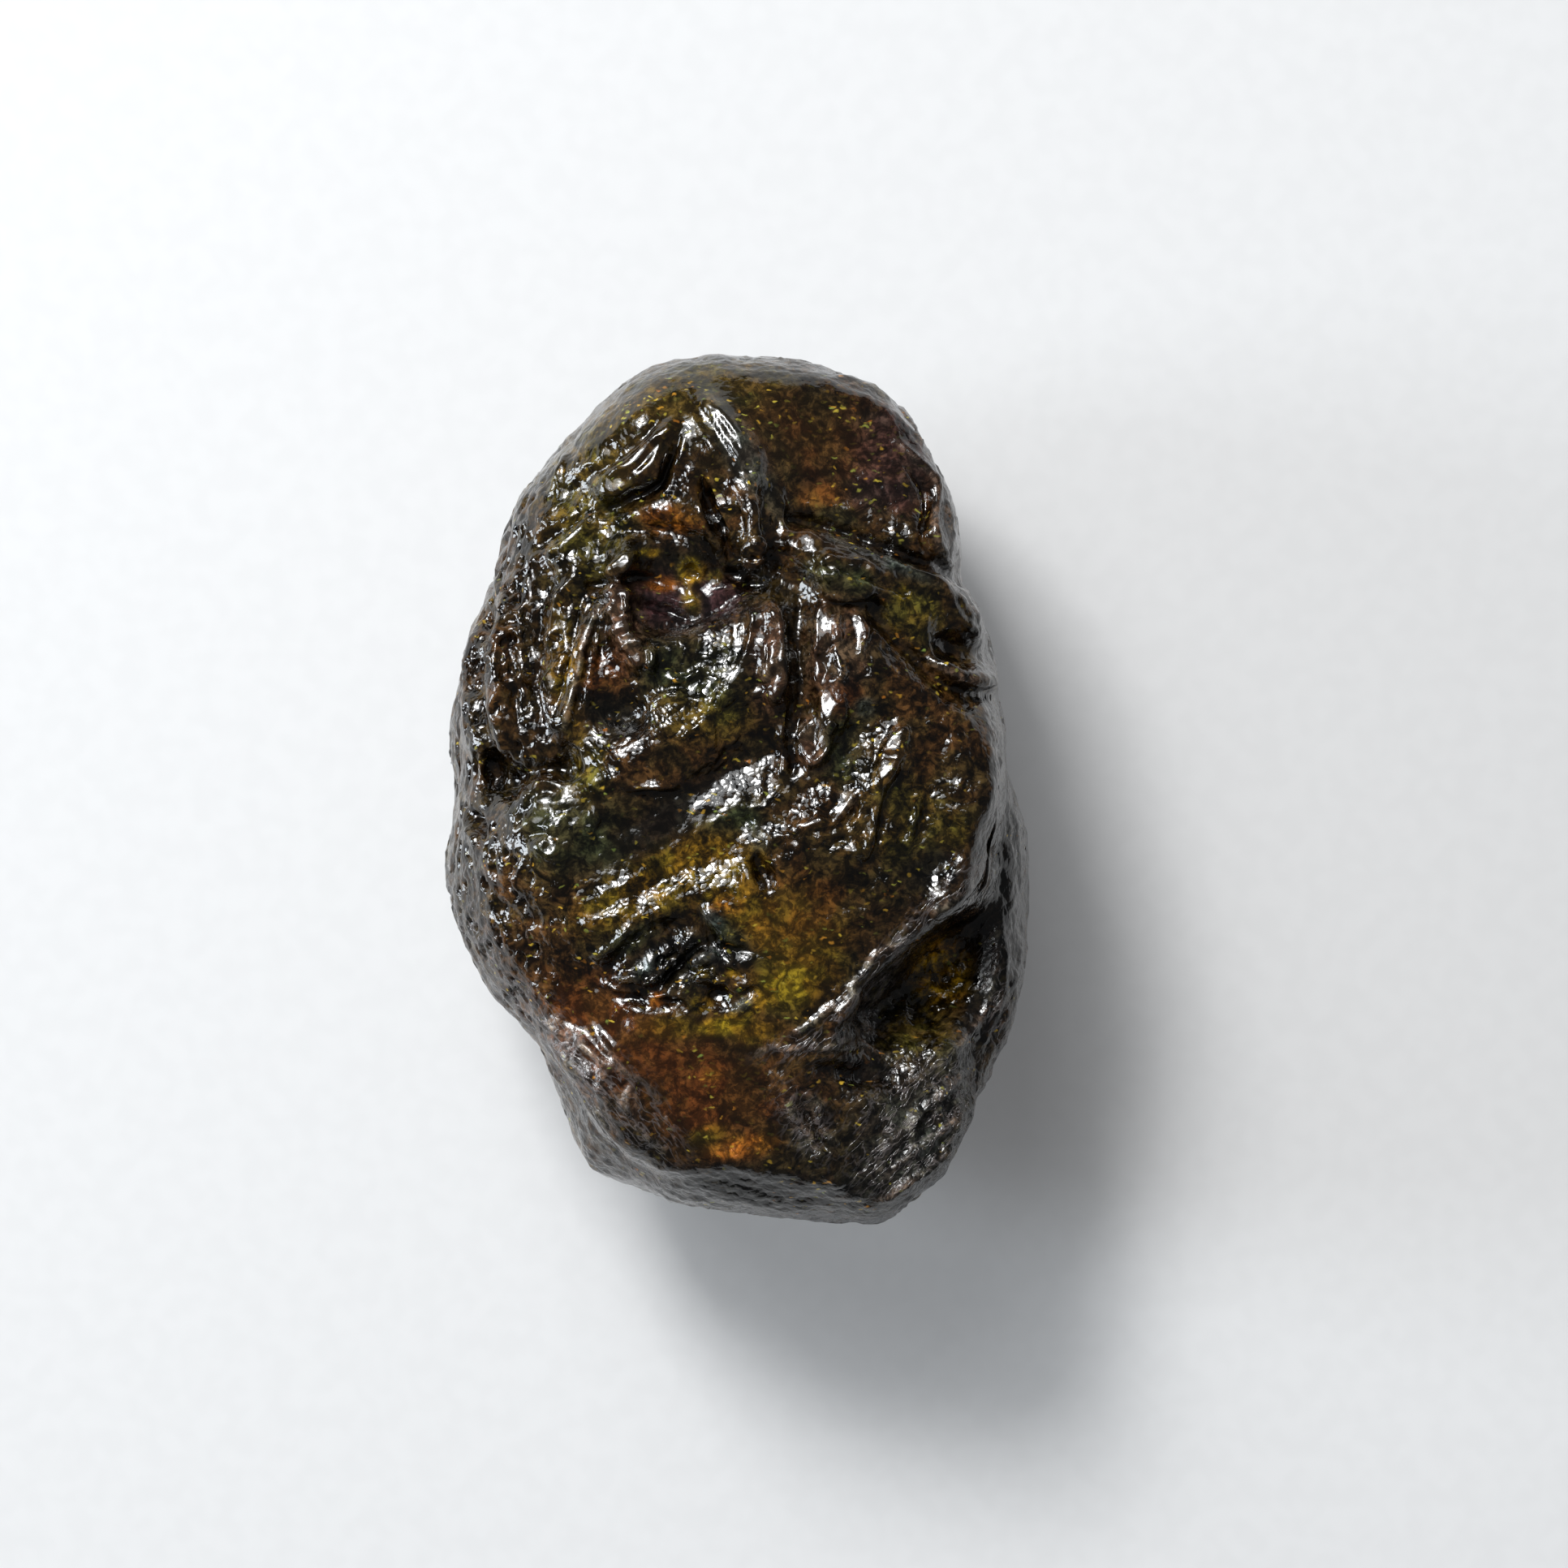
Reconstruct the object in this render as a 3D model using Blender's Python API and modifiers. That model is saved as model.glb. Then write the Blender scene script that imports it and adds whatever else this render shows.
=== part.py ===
"""A rough blue amber nodule: one natural piece of fossil resin, lying on its back with its folded face up.

Lengths in the tables are millimetres on the nodule seen from above, x to the right and y towards its
crown end. The origin is under the middle of the nodule, on the surface that it rests on.
"""

import math
from collections import namedtuple

import bmesh
import bpy
import numpy as np
from mathutils import Vector

MM = 0.001

# Driving dimensions, in millimetres
LENGTH = 38.1
WIDTH = 25.7
THICKNESS = 20.0
FACE_RISE = 10.0
BACK_DROP = 9.6
REST_CUT = 0.4

# How square the sides are: 2 is an ellipse, and more is a flatter top with steeper sides
FACE_SQUARENESS = 3.7
FACE_SQUARENESS_TO_THE_RIGHT = 0.8
FACE_SQUARENESS_AT_THE_ENDS = 0.6
BACK_SQUARENESS = 2.3

# How far past level a surface still counts as face or back, and how deep below the rim
FACING_START = -0.25
FACING_BAND = 0.5
FACING_DEPTH = 2.0

# How fine the shape is worked, in millimetres, and what the finished solid may hold
FORMING_VOXEL = 0.40
CARVING_VOXEL = 0.34
MOST_TRIANGLES = 9600

Mass = namedtuple("Mass", "middle half_sizes turn height")
Ground = namedtuple("Ground", "middle half_sizes turn amount lean")
Ledge = namedtuple("Ledge", "drop wall reach line")
Fold = namedtuple("Fold", "height width line")

# The outer edge of the nodule, clockwise from the top of the crown
OUTLINE = [
    (0.6, 18.95), (3.2, 18.65), (5.2, 17.75), (6.8, 16.75), (8.1, 15.1), (9.1, 13.1),
    (9.65, 11.3), (9.72, 9.5), (10.35, 8.0), (11.1, 6.3), (11.4, 4.2), (11.7, 2.2),
    (12.0, 0.1), (12.65, -1.5), (12.8, -2.6), (12.65, -4.6), (12.6, -7.0), (12.2, -9.6),
    (11.5, -11.8), (10.6, -13.5), (9.9, -15.1), (9.3, -16.5), (7.8, -17.95), (6.6, -19.1),
    (3.8, -19.15), (0.2, -18.8), (-2.4, -18.2), (-4.6, -17.4), (-6.4, -16.7), (-7.2, -15.4),
    (-7.7, -14.0), (-8.2, -12.5), (-8.9, -10.7), (-10.4, -9.4), (-11.6, -7.6), (-12.4, -5.7),
    (-12.8, -3.5), (-12.35, -1.4), (-12.45, 0.6), (-12.5, 2.4), (-12.2, 5.0), (-11.75, 6.9),
    (-10.7, 8.9), (-10.1, 10.8), (-9.35, 12.85), (-7.7, 15.0), (-5.9, 16.9), (-3.8, 18.3),
    (-1.6, 18.8),
]

# Broad swellings of the face, and sinkings where the height is below zero. Turns are in degrees.
MASSES = {
    "crown_dome": Mass((1.5, 15.0), (7.0, 4.0), 0, -0.5),
    "crown_crest": Mass((-1.2, 14.6), (3.6, 2.2), -40, 0.9),
    "crown_shoulder": Mass((0.9, 17.2), (5.6, 1.3), -4, 0.3),
    "crown_right_lobe": Mass((5.4, 13.9), (3.4, 2.3), -20, 0.8),
    "crown_right_lobe_foot": Mass((3.2, 12.1), (2.2, 1.0), -15, -0.5),
    "oval_basin": Mass((-2.2, 8.6), (2.7, 1.5), 8, -1.0),
    "left_bulge": Mass((-3.2, 2.2), (3.6, 2.6), 20, 0.9),
    "right_bulge": Mass((6.6, 1.2), (3.6, 4.0), -10, 0.7),
    "golden_ridge": Mass((-2.0, -4.3), (4.6, 1.3), 24, 0.9),
    "golden_slope": Mass((2.4, -6.2), (2.2, 3.4), -14, 0.4),
    "wrinkled_hollow": Mass((-2.7, -7.4), (2.9, 1.6), 10, -0.7),
    "lower_left_lobe": Mass((-8.3, -2.4), (2.2, 3.0), -10, 1.3),
    "brown_neck": Mass((-1.0, -13.2), (4.2, 2.4), -20, 0.2),
    "small_oval_hollow": Mass((5.2, -12.6), (2.5, 0.9), -4, -0.9),
    "right_hollow": Mass((8.6, -8.2), (2.4, 3.0), -30, -1.0),
    "right_rim_swell": Mass((11.6, -8.0), (1.0, 3.6), 4, 0.9),
    "foot_shoulder": Mass((1.2, -17.4), (5.2, 1.2), -5, 0.3),
    "foot_hollow": Mass((0.6, -17.4), (3.0, 0.9), -6, -0.7),
    "left_flank": Mass((-9.8, 4.6), (1.8, 4.0), 6, 0.5),
}

# Broad grounds that are nearly plane. The amount is how far each is evened out, and the lean is its rise
# towards +x and towards +y.
GROUNDS = {
    "crown_right": Ground((5.2, 14.2), (3.8, 3.4), -20, 0.6, (-0.12, 0.06)),
    "slanting_valley": Ground((-2.8, -1.6), (4.6, 1.2), 32, 0.7, (-0.04, 0.06)),
    "golden_slope": Ground((2.6, -6.4), (3.0, 3.2), -10, 0.6, (-0.12, 0.10)),
    "sole": Ground((-1.6, -11.2), (4.6, 1.6), 0, 0.6, (0.0, 0.20)),
    "neck": Ground((-0.4, -14.4), (5.0, 2.6), -5, 0.6, (0.02, 0.16)),
    "right_bulge": Ground((8.4, 1.4), (2.4, 3.6), 0, 0.5, (-0.12, 0.02)),
}

# Edges where a front fold stands above what lies behind it. Each point of a line is x, y and its share
# of the drop. Going along the line, the ground on the left falls away.
LEDGES = {
    "mantle_right": Ledge(4.6, 0.9, 6.5, [
        (11.1, 4.8, 0.0), (11.3, 2.6, 0.35), (11.05, 0.0, 0.7), (10.9, -1.6, 0.9), (10.55, -2.7, 1.0),
        (10.7, -3.7, 1.0), (10.1, -4.9, 1.0), (8.5, -5.8, 1.0), (7.0, -7.0, 0.95), (5.6, -8.6, 0.8),
        (4.7, -10.0, 0.5), (3.6, -11.0, 0.0),
    ]),
    "mantle_lower_left": Ledge(3.4, 0.5, 3.6, [
        (-2.4, -17.0, 0.0), (-3.8, -16.3, 0.7), (-5.2, -15.4, 1.0), (-6.1, -14.2, 1.0), (-6.8, -12.9, 1.0),
        (-7.6, -11.8, 0.9), (-8.4, -10.9, 0.6), (-9.4, -9.9, 0.0),
    ]),
    "left_waist": Ledge(2.0, 0.5, 2.2, [
        (-12.4, -1.3, 0.3), (-11.9, -0.3, 0.9), (-11.3, 0.9, 1.0), (-11.8, 2.1, 0.8), (-12.2, 3.6, 0.0),
    ]),
    "crown_right_edge": Ledge(1.1, 0.4, 1.4, [
        (7.4, 15.4, 0.0), (8.4, 13.4, 0.8), (8.7, 11.4, 1.0), (9.3, 9.7, 0.6), (9.7, 8.6, 0.0),
    ]),
}

# Folds of the face: ridges, and grooves where the height is below zero. Each point of a line is x, y
# and its share of the height.
FACE_FOLDS = {
    "shoulder_crease": Fold(-1.1, 0.6, [
        (1.9, 11.5, 0.5), (4.0, 10.9, 1.0), (5.5, 10.3, 1.0), (6.8, 9.7, 0.9), (8.2, 9.25, 0.8),
        (9.8, 9.0, 0.6),
    ]),
    "shoulder_shelf": Fold(0.5, 0.7, [(2.6, 10.4, 0.6), (4.4, 9.9, 1.0), (6.0, 9.2, 0.7), (7.4, 8.5, 0.3)]),
    "deep_pit": Fold(-1.5, 0.75, [(-0.1, 8.9, 0.4), (0.8, 9.1, 1.0), (1.9, 9.0, 0.7), (2.5, 8.3, 0.5)]),
    "drip": Fold(0.8, 0.5, [(0.3, 13.6, 0.3), (0.6, 12.2, 0.8), (0.9, 10.7, 1.0), (0.9, 10.2, 0.7)]),
    "drip_groove": Fold(-0.7, 0.35, [
        (1.2, 13.4, 0.3), (1.7, 12.0, 1.0), (1.8, 10.4, 1.0), (1.8, 9.6, 0.8),
    ]),
    "leaf_pit": Fold(-1.1, 0.42, [
        (-1.5, 13.6, 0.2), (-1.2, 12.6, 1.0), (-0.9, 11.8, 0.9), (-0.5, 10.8, 0.5), (-0.2, 9.6, 0.5),
    ]),
    "apex_crack": Fold(-0.8, 0.4, [
        (-2.4, 15.2, 0.2), (-2.8, 13.8, 1.0), (-3.3, 13.0, 0.9), (-4.3, 12.4, 0.7), (-5.7, 12.1, 0.5),
        (-6.6, 12.7, 0.5), (-8.0, 13.2, 0.3),
    ]),
    "right_crest": Fold(0.6, 0.7, [(-2.2, 16.9, 0.4), (-1.0, 15.8, 1.0), (0.2, 14.3, 0.8)]),
    "left_crest": Fold(0.6, 0.7, [(-5.6, 12.9, 0.8), (-4.4, 13.9, 1.0), (-3.0, 15.3, 0.6)]),
    "basin_upper_groove": Fold(-0.6, 0.42, [
        (-5.4, 10.5, 0.5), (-3.6, 11.0, 1.0), (-2.0, 10.8, 1.0), (-0.6, 10.2, 0.9),
    ]),
    "basin_lower_groove": Fold(-0.6, 0.45, [
        (-4.5, 7.2, 0.6), (-2.6, 7.2, 1.0), (-0.9, 7.6, 1.0), (0.6, 8.3, 0.9),
    ]),
    "basin_side_crack": Fold(-0.5, 0.3, [(-6.3, 8.6, 0.6), (-5.2, 8.9, 1.0), (-4.0, 8.9, 0.4)]),
    "basin_roll": Fold(0.8, 0.6, [(-4.6, 10.1, 0.5), (-5.0, 8.2, 1.0), (-4.8, 6.6, 1.0), (-3.9, 5.6, 0.7)]),
    "basin_outer_groove": Fold(-0.9, 0.6, [
        (-5.7, 11.6, 0.5), (-6.1, 9.6, 0.9), (-6.0, 7.6, 1.0), (-5.5, 5.8, 0.6), (-4.7, 4.4, 0.4),
    ]),
    "middle_furrow": Fold(-0.7, 0.62, [
        (2.8, 9.6, 0.5), (2.55, 7.6, 1.0), (2.45, 5.0, 1.0), (2.6, 3.0, 0.8), (2.6, 0.6, 0.5),
        (2.3, -2.2, 0.2),
    ]),
    "furrow_left_ridge": Fold(0.6, 0.5, [
        (1.3, 8.0, 0.8), (1.4, 6.2, 1.0), (1.8, 4.4, 0.9), (1.9, 2.0, 0.4),
    ]),
    "furrow_right_ridge": Fold(0.6, 0.5, [
        (3.8, 7.3, 0.8), (4.2, 5.4, 1.0), (4.2, 3.5, 1.0), (3.3, 1.5, 0.7),
    ]),
    "knob_notch": Fold(-0.8, 0.34, [(3.5, 7.8, 0.5), (4.7, 7.75, 1.0), (5.9, 7.6, 0.7)]),
    "knob": Fold(0.6, 0.8, [(4.2, 9.0, 1.0), (5.2, 8.9, 0.8)]),
    "slanting_crease": Fold(-0.9, 0.6, [
        (5.9, 7.5, 0.6), (6.9, 6.3, 0.9), (7.9, 5.5, 1.0), (8.9, 4.6, 0.8), (9.9, 4.0, 0.7), (11.3, 4.0, 0.5),
    ]),
    "right_pit": Fold(-1.2, 0.7, [(9.2, 6.3, 0.7), (10.0, 5.8, 1.0), (10.7, 5.9, 0.6)]),
    "right_pit_lower_rim": Fold(0.6, 0.4, [(8.5, 5.4, 0.6), (9.5, 4.9, 1.0), (11.0, 4.7, 0.8)]),
    "right_pit_upper_rim": Fold(0.5, 0.45, [
        (8.0, 9.0, 0.5), (9.0, 8.3, 1.0), (9.8, 7.4, 1.0), (10.4, 6.5, 0.8),
    ]),
    "flank_flake": Fold(0.7, 0.42, [
        (-6.2, 7.7, 0.5), (-6.9, 6.0, 1.0), (-7.5, 4.3, 1.0), (-7.6, 2.4, 0.7),
    ]),
    "flank_inner_groove": Fold(-0.6, 0.4, [
        (-8.2, 10.6, 0.4), (-8.8, 8.4, 0.9), (-8.9, 6.0, 1.0), (-8.8, 3.6, 1.0), (-8.2, 1.6, 0.6),
    ]),
    "flank_ridge": Fold(0.7, 0.42, [
        (-9.7, 7.9, 0.5), (-10.1, 5.6, 1.0), (-10.3, 3.4, 1.0), (-10.0, 1.4, 0.6),
    ]),
    "flank_outer_groove": Fold(-0.7, 0.36, [
        (-10.9, 7.6, 0.6), (-11.1, 5.4, 1.0), (-11.1, 3.0, 0.9), (-10.8, 1.6, 0.6),
    ]),
    "waist_pit": Fold(-1.7, 0.6, [(-10.4, 0.9, 0.8), (-10.3, 0.2, 1.0)]),
    "waist_crease": Fold(-0.8, 0.5, [
        (-10.0, 0.2, 0.9), (-8.8, 0.45, 1.0), (-7.6, 0.9, 1.0), (-6.6, 1.0, 0.5),
    ]),
    "waist_roll": Fold(0.5, 0.6, [(-9.2, -0.6, 0.7), (-8.1, -0.3, 1.0), (-7.5, -0.1, 0.5)]),
    "slanting_valley": Fold(-1.1, 1.2, [
        (-6.4, -3.6, 0.5), (-4.4, -3.1, 0.9), (-2.6, -2.1, 1.0), (-1.0, -0.8, 1.0), (0.4, 0.4, 0.9),
        (1.7, 1.3, 0.5),
    ]),
    "wrinkled_hollow_lower_edge": Fold(-0.5, 0.6, [
        (-7.0, -8.0, 0.3), (-5.6, -8.7, 1.0), (-3.8, -9.2, 1.0), (-1.6, -9.3, 0.8), (0.2, -8.8, 0.4),
    ]),
    "wrinkled_hollow_upper_edge": Fold(-0.3, 0.5, [
        (-5.6, -7.2, 0.6), (-4.2, -6.3, 1.0), (-2.6, -5.8, 1.0), (-0.8, -5.9, 0.8), (0.4, -6.8, 0.4),
    ]),
    "wrinkled_hollow_tongue": Fold(0.7, 0.5, [
        (-4.7, -7.9, 0.7), (-3.8, -7.6, 1.0), (-3.1, -7.1, 0.8), (-2.3, -6.7, 0.5),
    ]),
    "wrinkled_hollow_knob": Fold(0.7, 0.5, [(-1.8, -7.4, 0.8), (-1.1, -7.6, 1.0), (-1.2, -8.2, 0.6)]),
    "wrinkled_hollow_shelf": Fold(0.5, 0.5, [(-5.6, -7.2, 0.6), (-4.8, -6.6, 1.0), (-3.6, -6.1, 0.7)]),
    "wrinkled_hollow_corner": Fold(0.5, 0.5, [(-1.6, -6.0, 0.7), (-0.8, -6.1, 1.0), (0.0, -7.0, 0.6)]),
    "right_bulge_ridge": Fold(0.4, 0.5, [(7.1, 2.3, 0.6), (6.6, 1.2, 1.0), (6.1, -0.2, 0.5)]),
    "right_bulge_dent": Fold(-0.5, 0.9, [(4.6, 0.6, 0.8), (5.6, 2.6, 1.0), (7.0, 3.6, 0.5)]),
    "right_bulge_near_furrow": Fold(-0.7, 0.45, [(5.3, 0.4, 0.6), (4.7, -0.9, 1.0), (4.1, -2.4, 0.7)]),
    "right_bulge_middle_furrow": Fold(-0.7, 0.45, [(6.4, 0.1, 0.6), (6.1, -1.6, 1.0), (5.6, -3.4, 0.7)]),
    "right_bulge_far_furrow": Fold(-0.6, 0.45, [(8.1, 0.2, 0.5), (7.6, -1.6, 1.0), (6.9, -3.4, 0.7)]),
    "right_bulge_hollow": Fold(-0.6, 1.3, [(7.6, -3.8, 0.7), (8.6, -3.3, 1.0), (9.5, -2.5, 0.6)]),
    "left_bulge_dent": Fold(-0.8, 1.0, [(-4.4, 3.4, 1.0), (-5.6, 2.6, 0.8)]),
    "mantle_lip": Fold(0.5, 0.5, [
        (11.1, 2.4, 0.4), (10.7, 0.4, 0.8), (10.6, -1.4, 1.0), (10.1, -3.4, 1.0), (8.9, -5.0, 1.0),
        (7.0, -6.2, 1.0), (5.2, -8.0, 0.9), (4.2, -9.8, 0.6),
    ]),
    "golden_step": Fold(-0.5, 0.6, [
        (1.0, -3.2, 0.6), (1.6, -4.6, 1.0), (3.4, -5.2, 0.8), (5.2, -4.9, 0.4),
    ]),
    "golden_roll": Fold(0.5, 0.7, [(-6.4, -5.0, 0.5), (-4.6, -4.2, 1.0), (-2.6, -3.3, 0.8)]),
    "hollow_far_rim": Fold(0.7, 0.5, [
        (11.2, -6.4, 0.5), (11.1, -8.0, 0.9), (10.6, -9.9, 1.0), (9.4, -11.1, 0.9), (8.2, -12.2, 0.6),
    ]),
    "hollow_near_step": Fold(-0.6, 0.6, [(6.4, -8.4, 0.8), (5.9, -9.8, 1.0), (6.2, -11.2, 0.6)]),
    "lower_right_crease": Fold(-0.7, 0.5, [
        (11.6, -9.6, 0.4), (10.8, -11.4, 1.0), (9.6, -13.2, 0.8), (8.6, -14.6, 0.4),
    ]),
    "lower_right_roll": Fold(0.5, 0.6, [(9.8, -14.4, 0.6), (8.2, -15.8, 1.0), (7.0, -17.4, 0.7)]),
    "neck_crease": Fold(-0.6, 0.6, [
        (-6.4, -10.2, 0.4), (-4.8, -11.6, 1.0), (-3.4, -13.4, 1.0), (-2.9, -15.2, 0.6),
    ]),
    "sleeve_ridge": Fold(0.6, 0.7, [
        (-8.2, -9.8, 0.5), (-6.6, -11.4, 1.0), (-5.3, -13.2, 1.0), (-4.2, -15.2, 0.8),
    ]),
    "chain_ridge": Fold(0.5, 0.5, [
        (1.9, -12.9, 0.6), (2.6, -14.2, 1.0), (3.7, -15.8, 0.9), (4.6, -17.0, 0.5),
    ]),
    "chain_groove": Fold(-0.5, 0.5, [(3.4, -13.4, 0.8), (4.4, -15.0, 1.0), (5.4, -16.6, 0.6)]),
    "foot_lip": Fold(0.5, 0.5, [
        (-3.0, -16.4, 0.6), (-0.8, -15.9, 1.0), (1.4, -16.1, 1.0), (3.4, -17.0, 0.5),
    ]),
}

# Folds of the hidden back, on the same x and y
BACK_FOLDS = {
    "long_furrow": Fold(-1.4, 0.9, [
        (-6.4, 13.6, 0.3), (-7.6, 8.6, 0.9), (-5.9, 4.8, 1.0), (-7.6, 0.2, 0.9), (-10.6, -3.2, 0.5),
    ]),
    "branch_furrow": Fold(-1.1, 0.7, [
        (-6.8, 2.0, 0.7), (-7.2, -4.6, 1.0), (-5.2, -8.8, 0.9), (-6.4, -13.6, 0.3),
    ]),
    "crown_crease": Fold(-1.3, 0.8, [
        (-3.4, 10.6, 0.4), (0.6, 9.9, 0.9), (4.2, 12.2, 1.0), (8.2, 12.6, 0.6),
    ]),
    "right_furrow": Fold(-1.3, 0.9, [
        (10.2, 7.4, 0.5), (7.2, 4.4, 1.0), (7.9, -0.4, 0.9), (6.4, -4.4, 0.6),
    ]),
    "foot_crease": Fold(-1.2, 0.8, [
        (11.0, -9.4, 0.5), (7.4, -10.6, 1.0), (2.6, -9.6, 0.8), (-0.6, -12.6, 0.9), (-0.2, -16.4, 0.4),
    ]),
    "left_ridge": Fold(0.7, 0.9, [(-9.6, 6.8, 0.6), (-10.0, 2.0, 1.0), (-8.8, -1.6, 0.5)]),
    "crown_ridge": Fold(0.7, 1.1, [(-3.6, 14.2, 0.7), (0.4, 13.0, 1.0), (3.8, 15.0, 0.6)]),
    "foot_ridge": Fold(0.7, 1.0, [(4.8, -12.9, 0.8), (7.6, -14.2, 1.0), (6.6, -17.0, 0.6)]),
    "knob": Fold(0.9, 1.6, [(-4.0, -12.4, 1.0), (-3.2, -14.0, 0.8)]),
    "right_hollow": Fold(-0.9, 1.5, [(10.0, -3.4, 1.0), (9.8, -5.0, 0.9)]),
}


def clear_scene():
    for obj in list(bpy.data.objects):
        bpy.data.objects.remove(obj, do_unlink=True)


def collection_named(name):
    found = bpy.data.collections.new(name)
    bpy.context.scene.collection.children.link(found)
    return found


def smooth_line(points, closed=False, per_span=6):
    """A Catmull-Rom line through the points, which may carry more values than x and y."""
    given = np.array(points, float)
    if closed:
        padded = np.vstack([given[-1], given, given[:2]])
    else:
        padded = np.vstack([2 * given[0] - given[1], given, 2 * given[-1] - given[-2]])
    steps = np.linspace(0, 1, per_span, endpoint=False)[:, None]
    runs = []
    for before, start, end, after in zip(padded, padded[1:], padded[2:], padded[3:]):
        runs.append(0.5 * (2 * start + (end - before) * steps
                           + (2 * before - 5 * start + 4 * end - after) * steps ** 2
                           + (3 * start - before - 3 * end + after) * steps ** 3))
    line = np.vstack(runs)
    return line if closed else np.vstack([line, given[-1]])


def nearest_on_line(places, line):
    """For each place: its distance to the line, the line's share there, and its side, +1 on the left."""
    nearest = np.full(len(places), np.inf)
    share = np.zeros(len(places))
    side = np.ones(len(places))
    for start, end in zip(line, line[1:]):
        along = end[:2] - start[:2]
        offset = places - start[:2]
        part_way = np.clip(offset @ along / (along @ along), 0, 1)
        gap = np.hypot(*(offset - part_way[:, None] * along).T)
        closer = gap < nearest
        nearest[closer] = gap[closer]
        share[closer] = (start[2] + part_way * (end[2] - start[2]))[closer]
        turn = along[0] * offset[:, 1] - along[1] * offset[:, 0]
        side[closer] = np.where(turn > 0, 1.0, -1.0)[closer]
    return nearest, share, side


def smooth_step(value):
    ramp = np.clip(value, 0, 1)
    return ramp * ramp * (3 - 2 * ramp)


def outline_radius(angle):
    """How far the nodule's edge lies from its middle, in each direction."""
    edge = smooth_line(OUTLINE, closed=True)
    turn = np.arctan2(edge[:, 1], edge[:, 0])
    order = np.argsort(turn)
    return np.interp(angle, turn[order], np.hypot(*edge[order].T), period=2 * math.pi)


def mesh_points(mesh):
    places = np.empty(len(mesh.vertices) * 3)
    mesh.vertices.foreach_get("co", places)
    return places.reshape(-1, 3)


def mesh_normals(mesh):
    normals = np.empty(len(mesh.vertices) * 3)
    mesh.vertices.foreach_get("normal", normals)
    return normals.reshape(-1, 3)


def set_points(mesh, places):
    mesh.vertices.foreach_set("co", places.ravel())
    mesh.update()


def pebble(collection):
    """A smooth pebble that fills the outline, made from a ball. The rim is at height 0."""
    sculpt = bmesh.new()
    bmesh.ops.create_icosphere(sculpt, subdivisions=6, radius=1.0)
    mesh = bpy.data.meshes.new("amber_nodule")
    sculpt.to_mesh(mesh)
    sculpt.free()
    ball = mesh_points(mesh)
    angle = np.arctan2(ball[:, 1], ball[:, 0])
    share = np.clip(np.hypot(ball[:, 0], ball[:, 1]), 0, 1)
    # The face is a broad table, with a steep right side, steep ends and a rounder left side.
    squareness = FACE_SQUARENESS + FACE_SQUARENESS_TO_THE_RIGHT * np.cos(angle)
    squareness += FACE_SQUARENESS_AT_THE_ENDS * np.sin(angle) ** 2
    face = FACE_RISE * (1 - share ** squareness) ** (1 / squareness)
    back = -BACK_DROP * np.sqrt(1 - share ** BACK_SQUARENESS)
    reach = outline_radius(angle) * share
    height = np.where(ball[:, 2] >= 0, face, back)
    set_points(mesh, np.column_stack([reach * np.cos(angle), reach * np.sin(angle), height]))
    nodule = bpy.data.objects.new("amber_nodule", mesh)
    collection.objects.link(nodule)
    return nodule


def apply_modifiers(nodule):
    """Makes the object's mesh what its modifiers show, and removes them."""
    graph = bpy.context.evaluated_depsgraph_get()
    old = nodule.data
    made = bpy.data.meshes.new_from_object(nodule.evaluated_get(graph))
    nodule.modifiers.clear()
    nodule.data = made
    bpy.data.meshes.remove(old)


def remesh(nodule, voxel, smoothing):
    """Gives the surface even squares, so that steep walls hold as many points as level ground."""
    squares = nodule.modifiers.new("even_squares", "REMESH")
    squares.mode = "VOXEL"
    squares.voxel_size = voxel
    soften = nodule.modifiers.new("soften", "SMOOTH")
    soften.factor = 0.5
    soften.iterations = smoothing
    apply_modifiers(nodule)


def facing(mesh, places, up):
    """1 on the face (up = 1) or on the back (up = -1), falling to 0 past the nodule's edge."""
    level = mesh_normals(mesh)[:, 2] * up
    return smooth_step((level - FACING_START) / FACING_BAND) * (places[:, 2] * up > -FACING_DEPTH)


def raise_masses(nodule):
    mesh = nodule.data
    places = mesh_points(mesh)
    rise = np.zeros(len(places))
    for mass in MASSES.values():
        offset = places[:, :2] - mass.middle
        c, s = math.cos(math.radians(mass.turn)), math.sin(math.radians(mass.turn))
        across = (offset[:, 0] * c + offset[:, 1] * s) / mass.half_sizes[0]
        up = (offset[:, 1] * c - offset[:, 0] * s) / mass.half_sizes[1]
        rise += mass.height * np.exp(-(across ** 2 + up ** 2))
    places[:, 2] += rise * facing(mesh, places, 1)
    set_points(mesh, places)


def even_grounds(nodule):
    """Brings each broad ground towards a plane through its own mean height."""
    mesh = nodule.data
    places = mesh_points(mesh)
    face = facing(mesh, places, 1)
    for ground in GROUNDS.values():
        offset = places[:, :2] - ground.middle
        c, s = math.cos(math.radians(ground.turn)), math.sin(math.radians(ground.turn))
        across = (offset[:, 0] * c + offset[:, 1] * s) / ground.half_sizes[0]
        up = (offset[:, 1] * c - offset[:, 0] * s) / ground.half_sizes[1]
        share = face * np.exp(-(across ** 2 + up ** 2) ** 1.5)
        plane = np.average(places[:, 2], weights=share) + offset @ np.array(ground.lean)
        places[:, 2] += ground.amount * share * (plane - places[:, 2])
    set_points(mesh, places)


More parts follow.
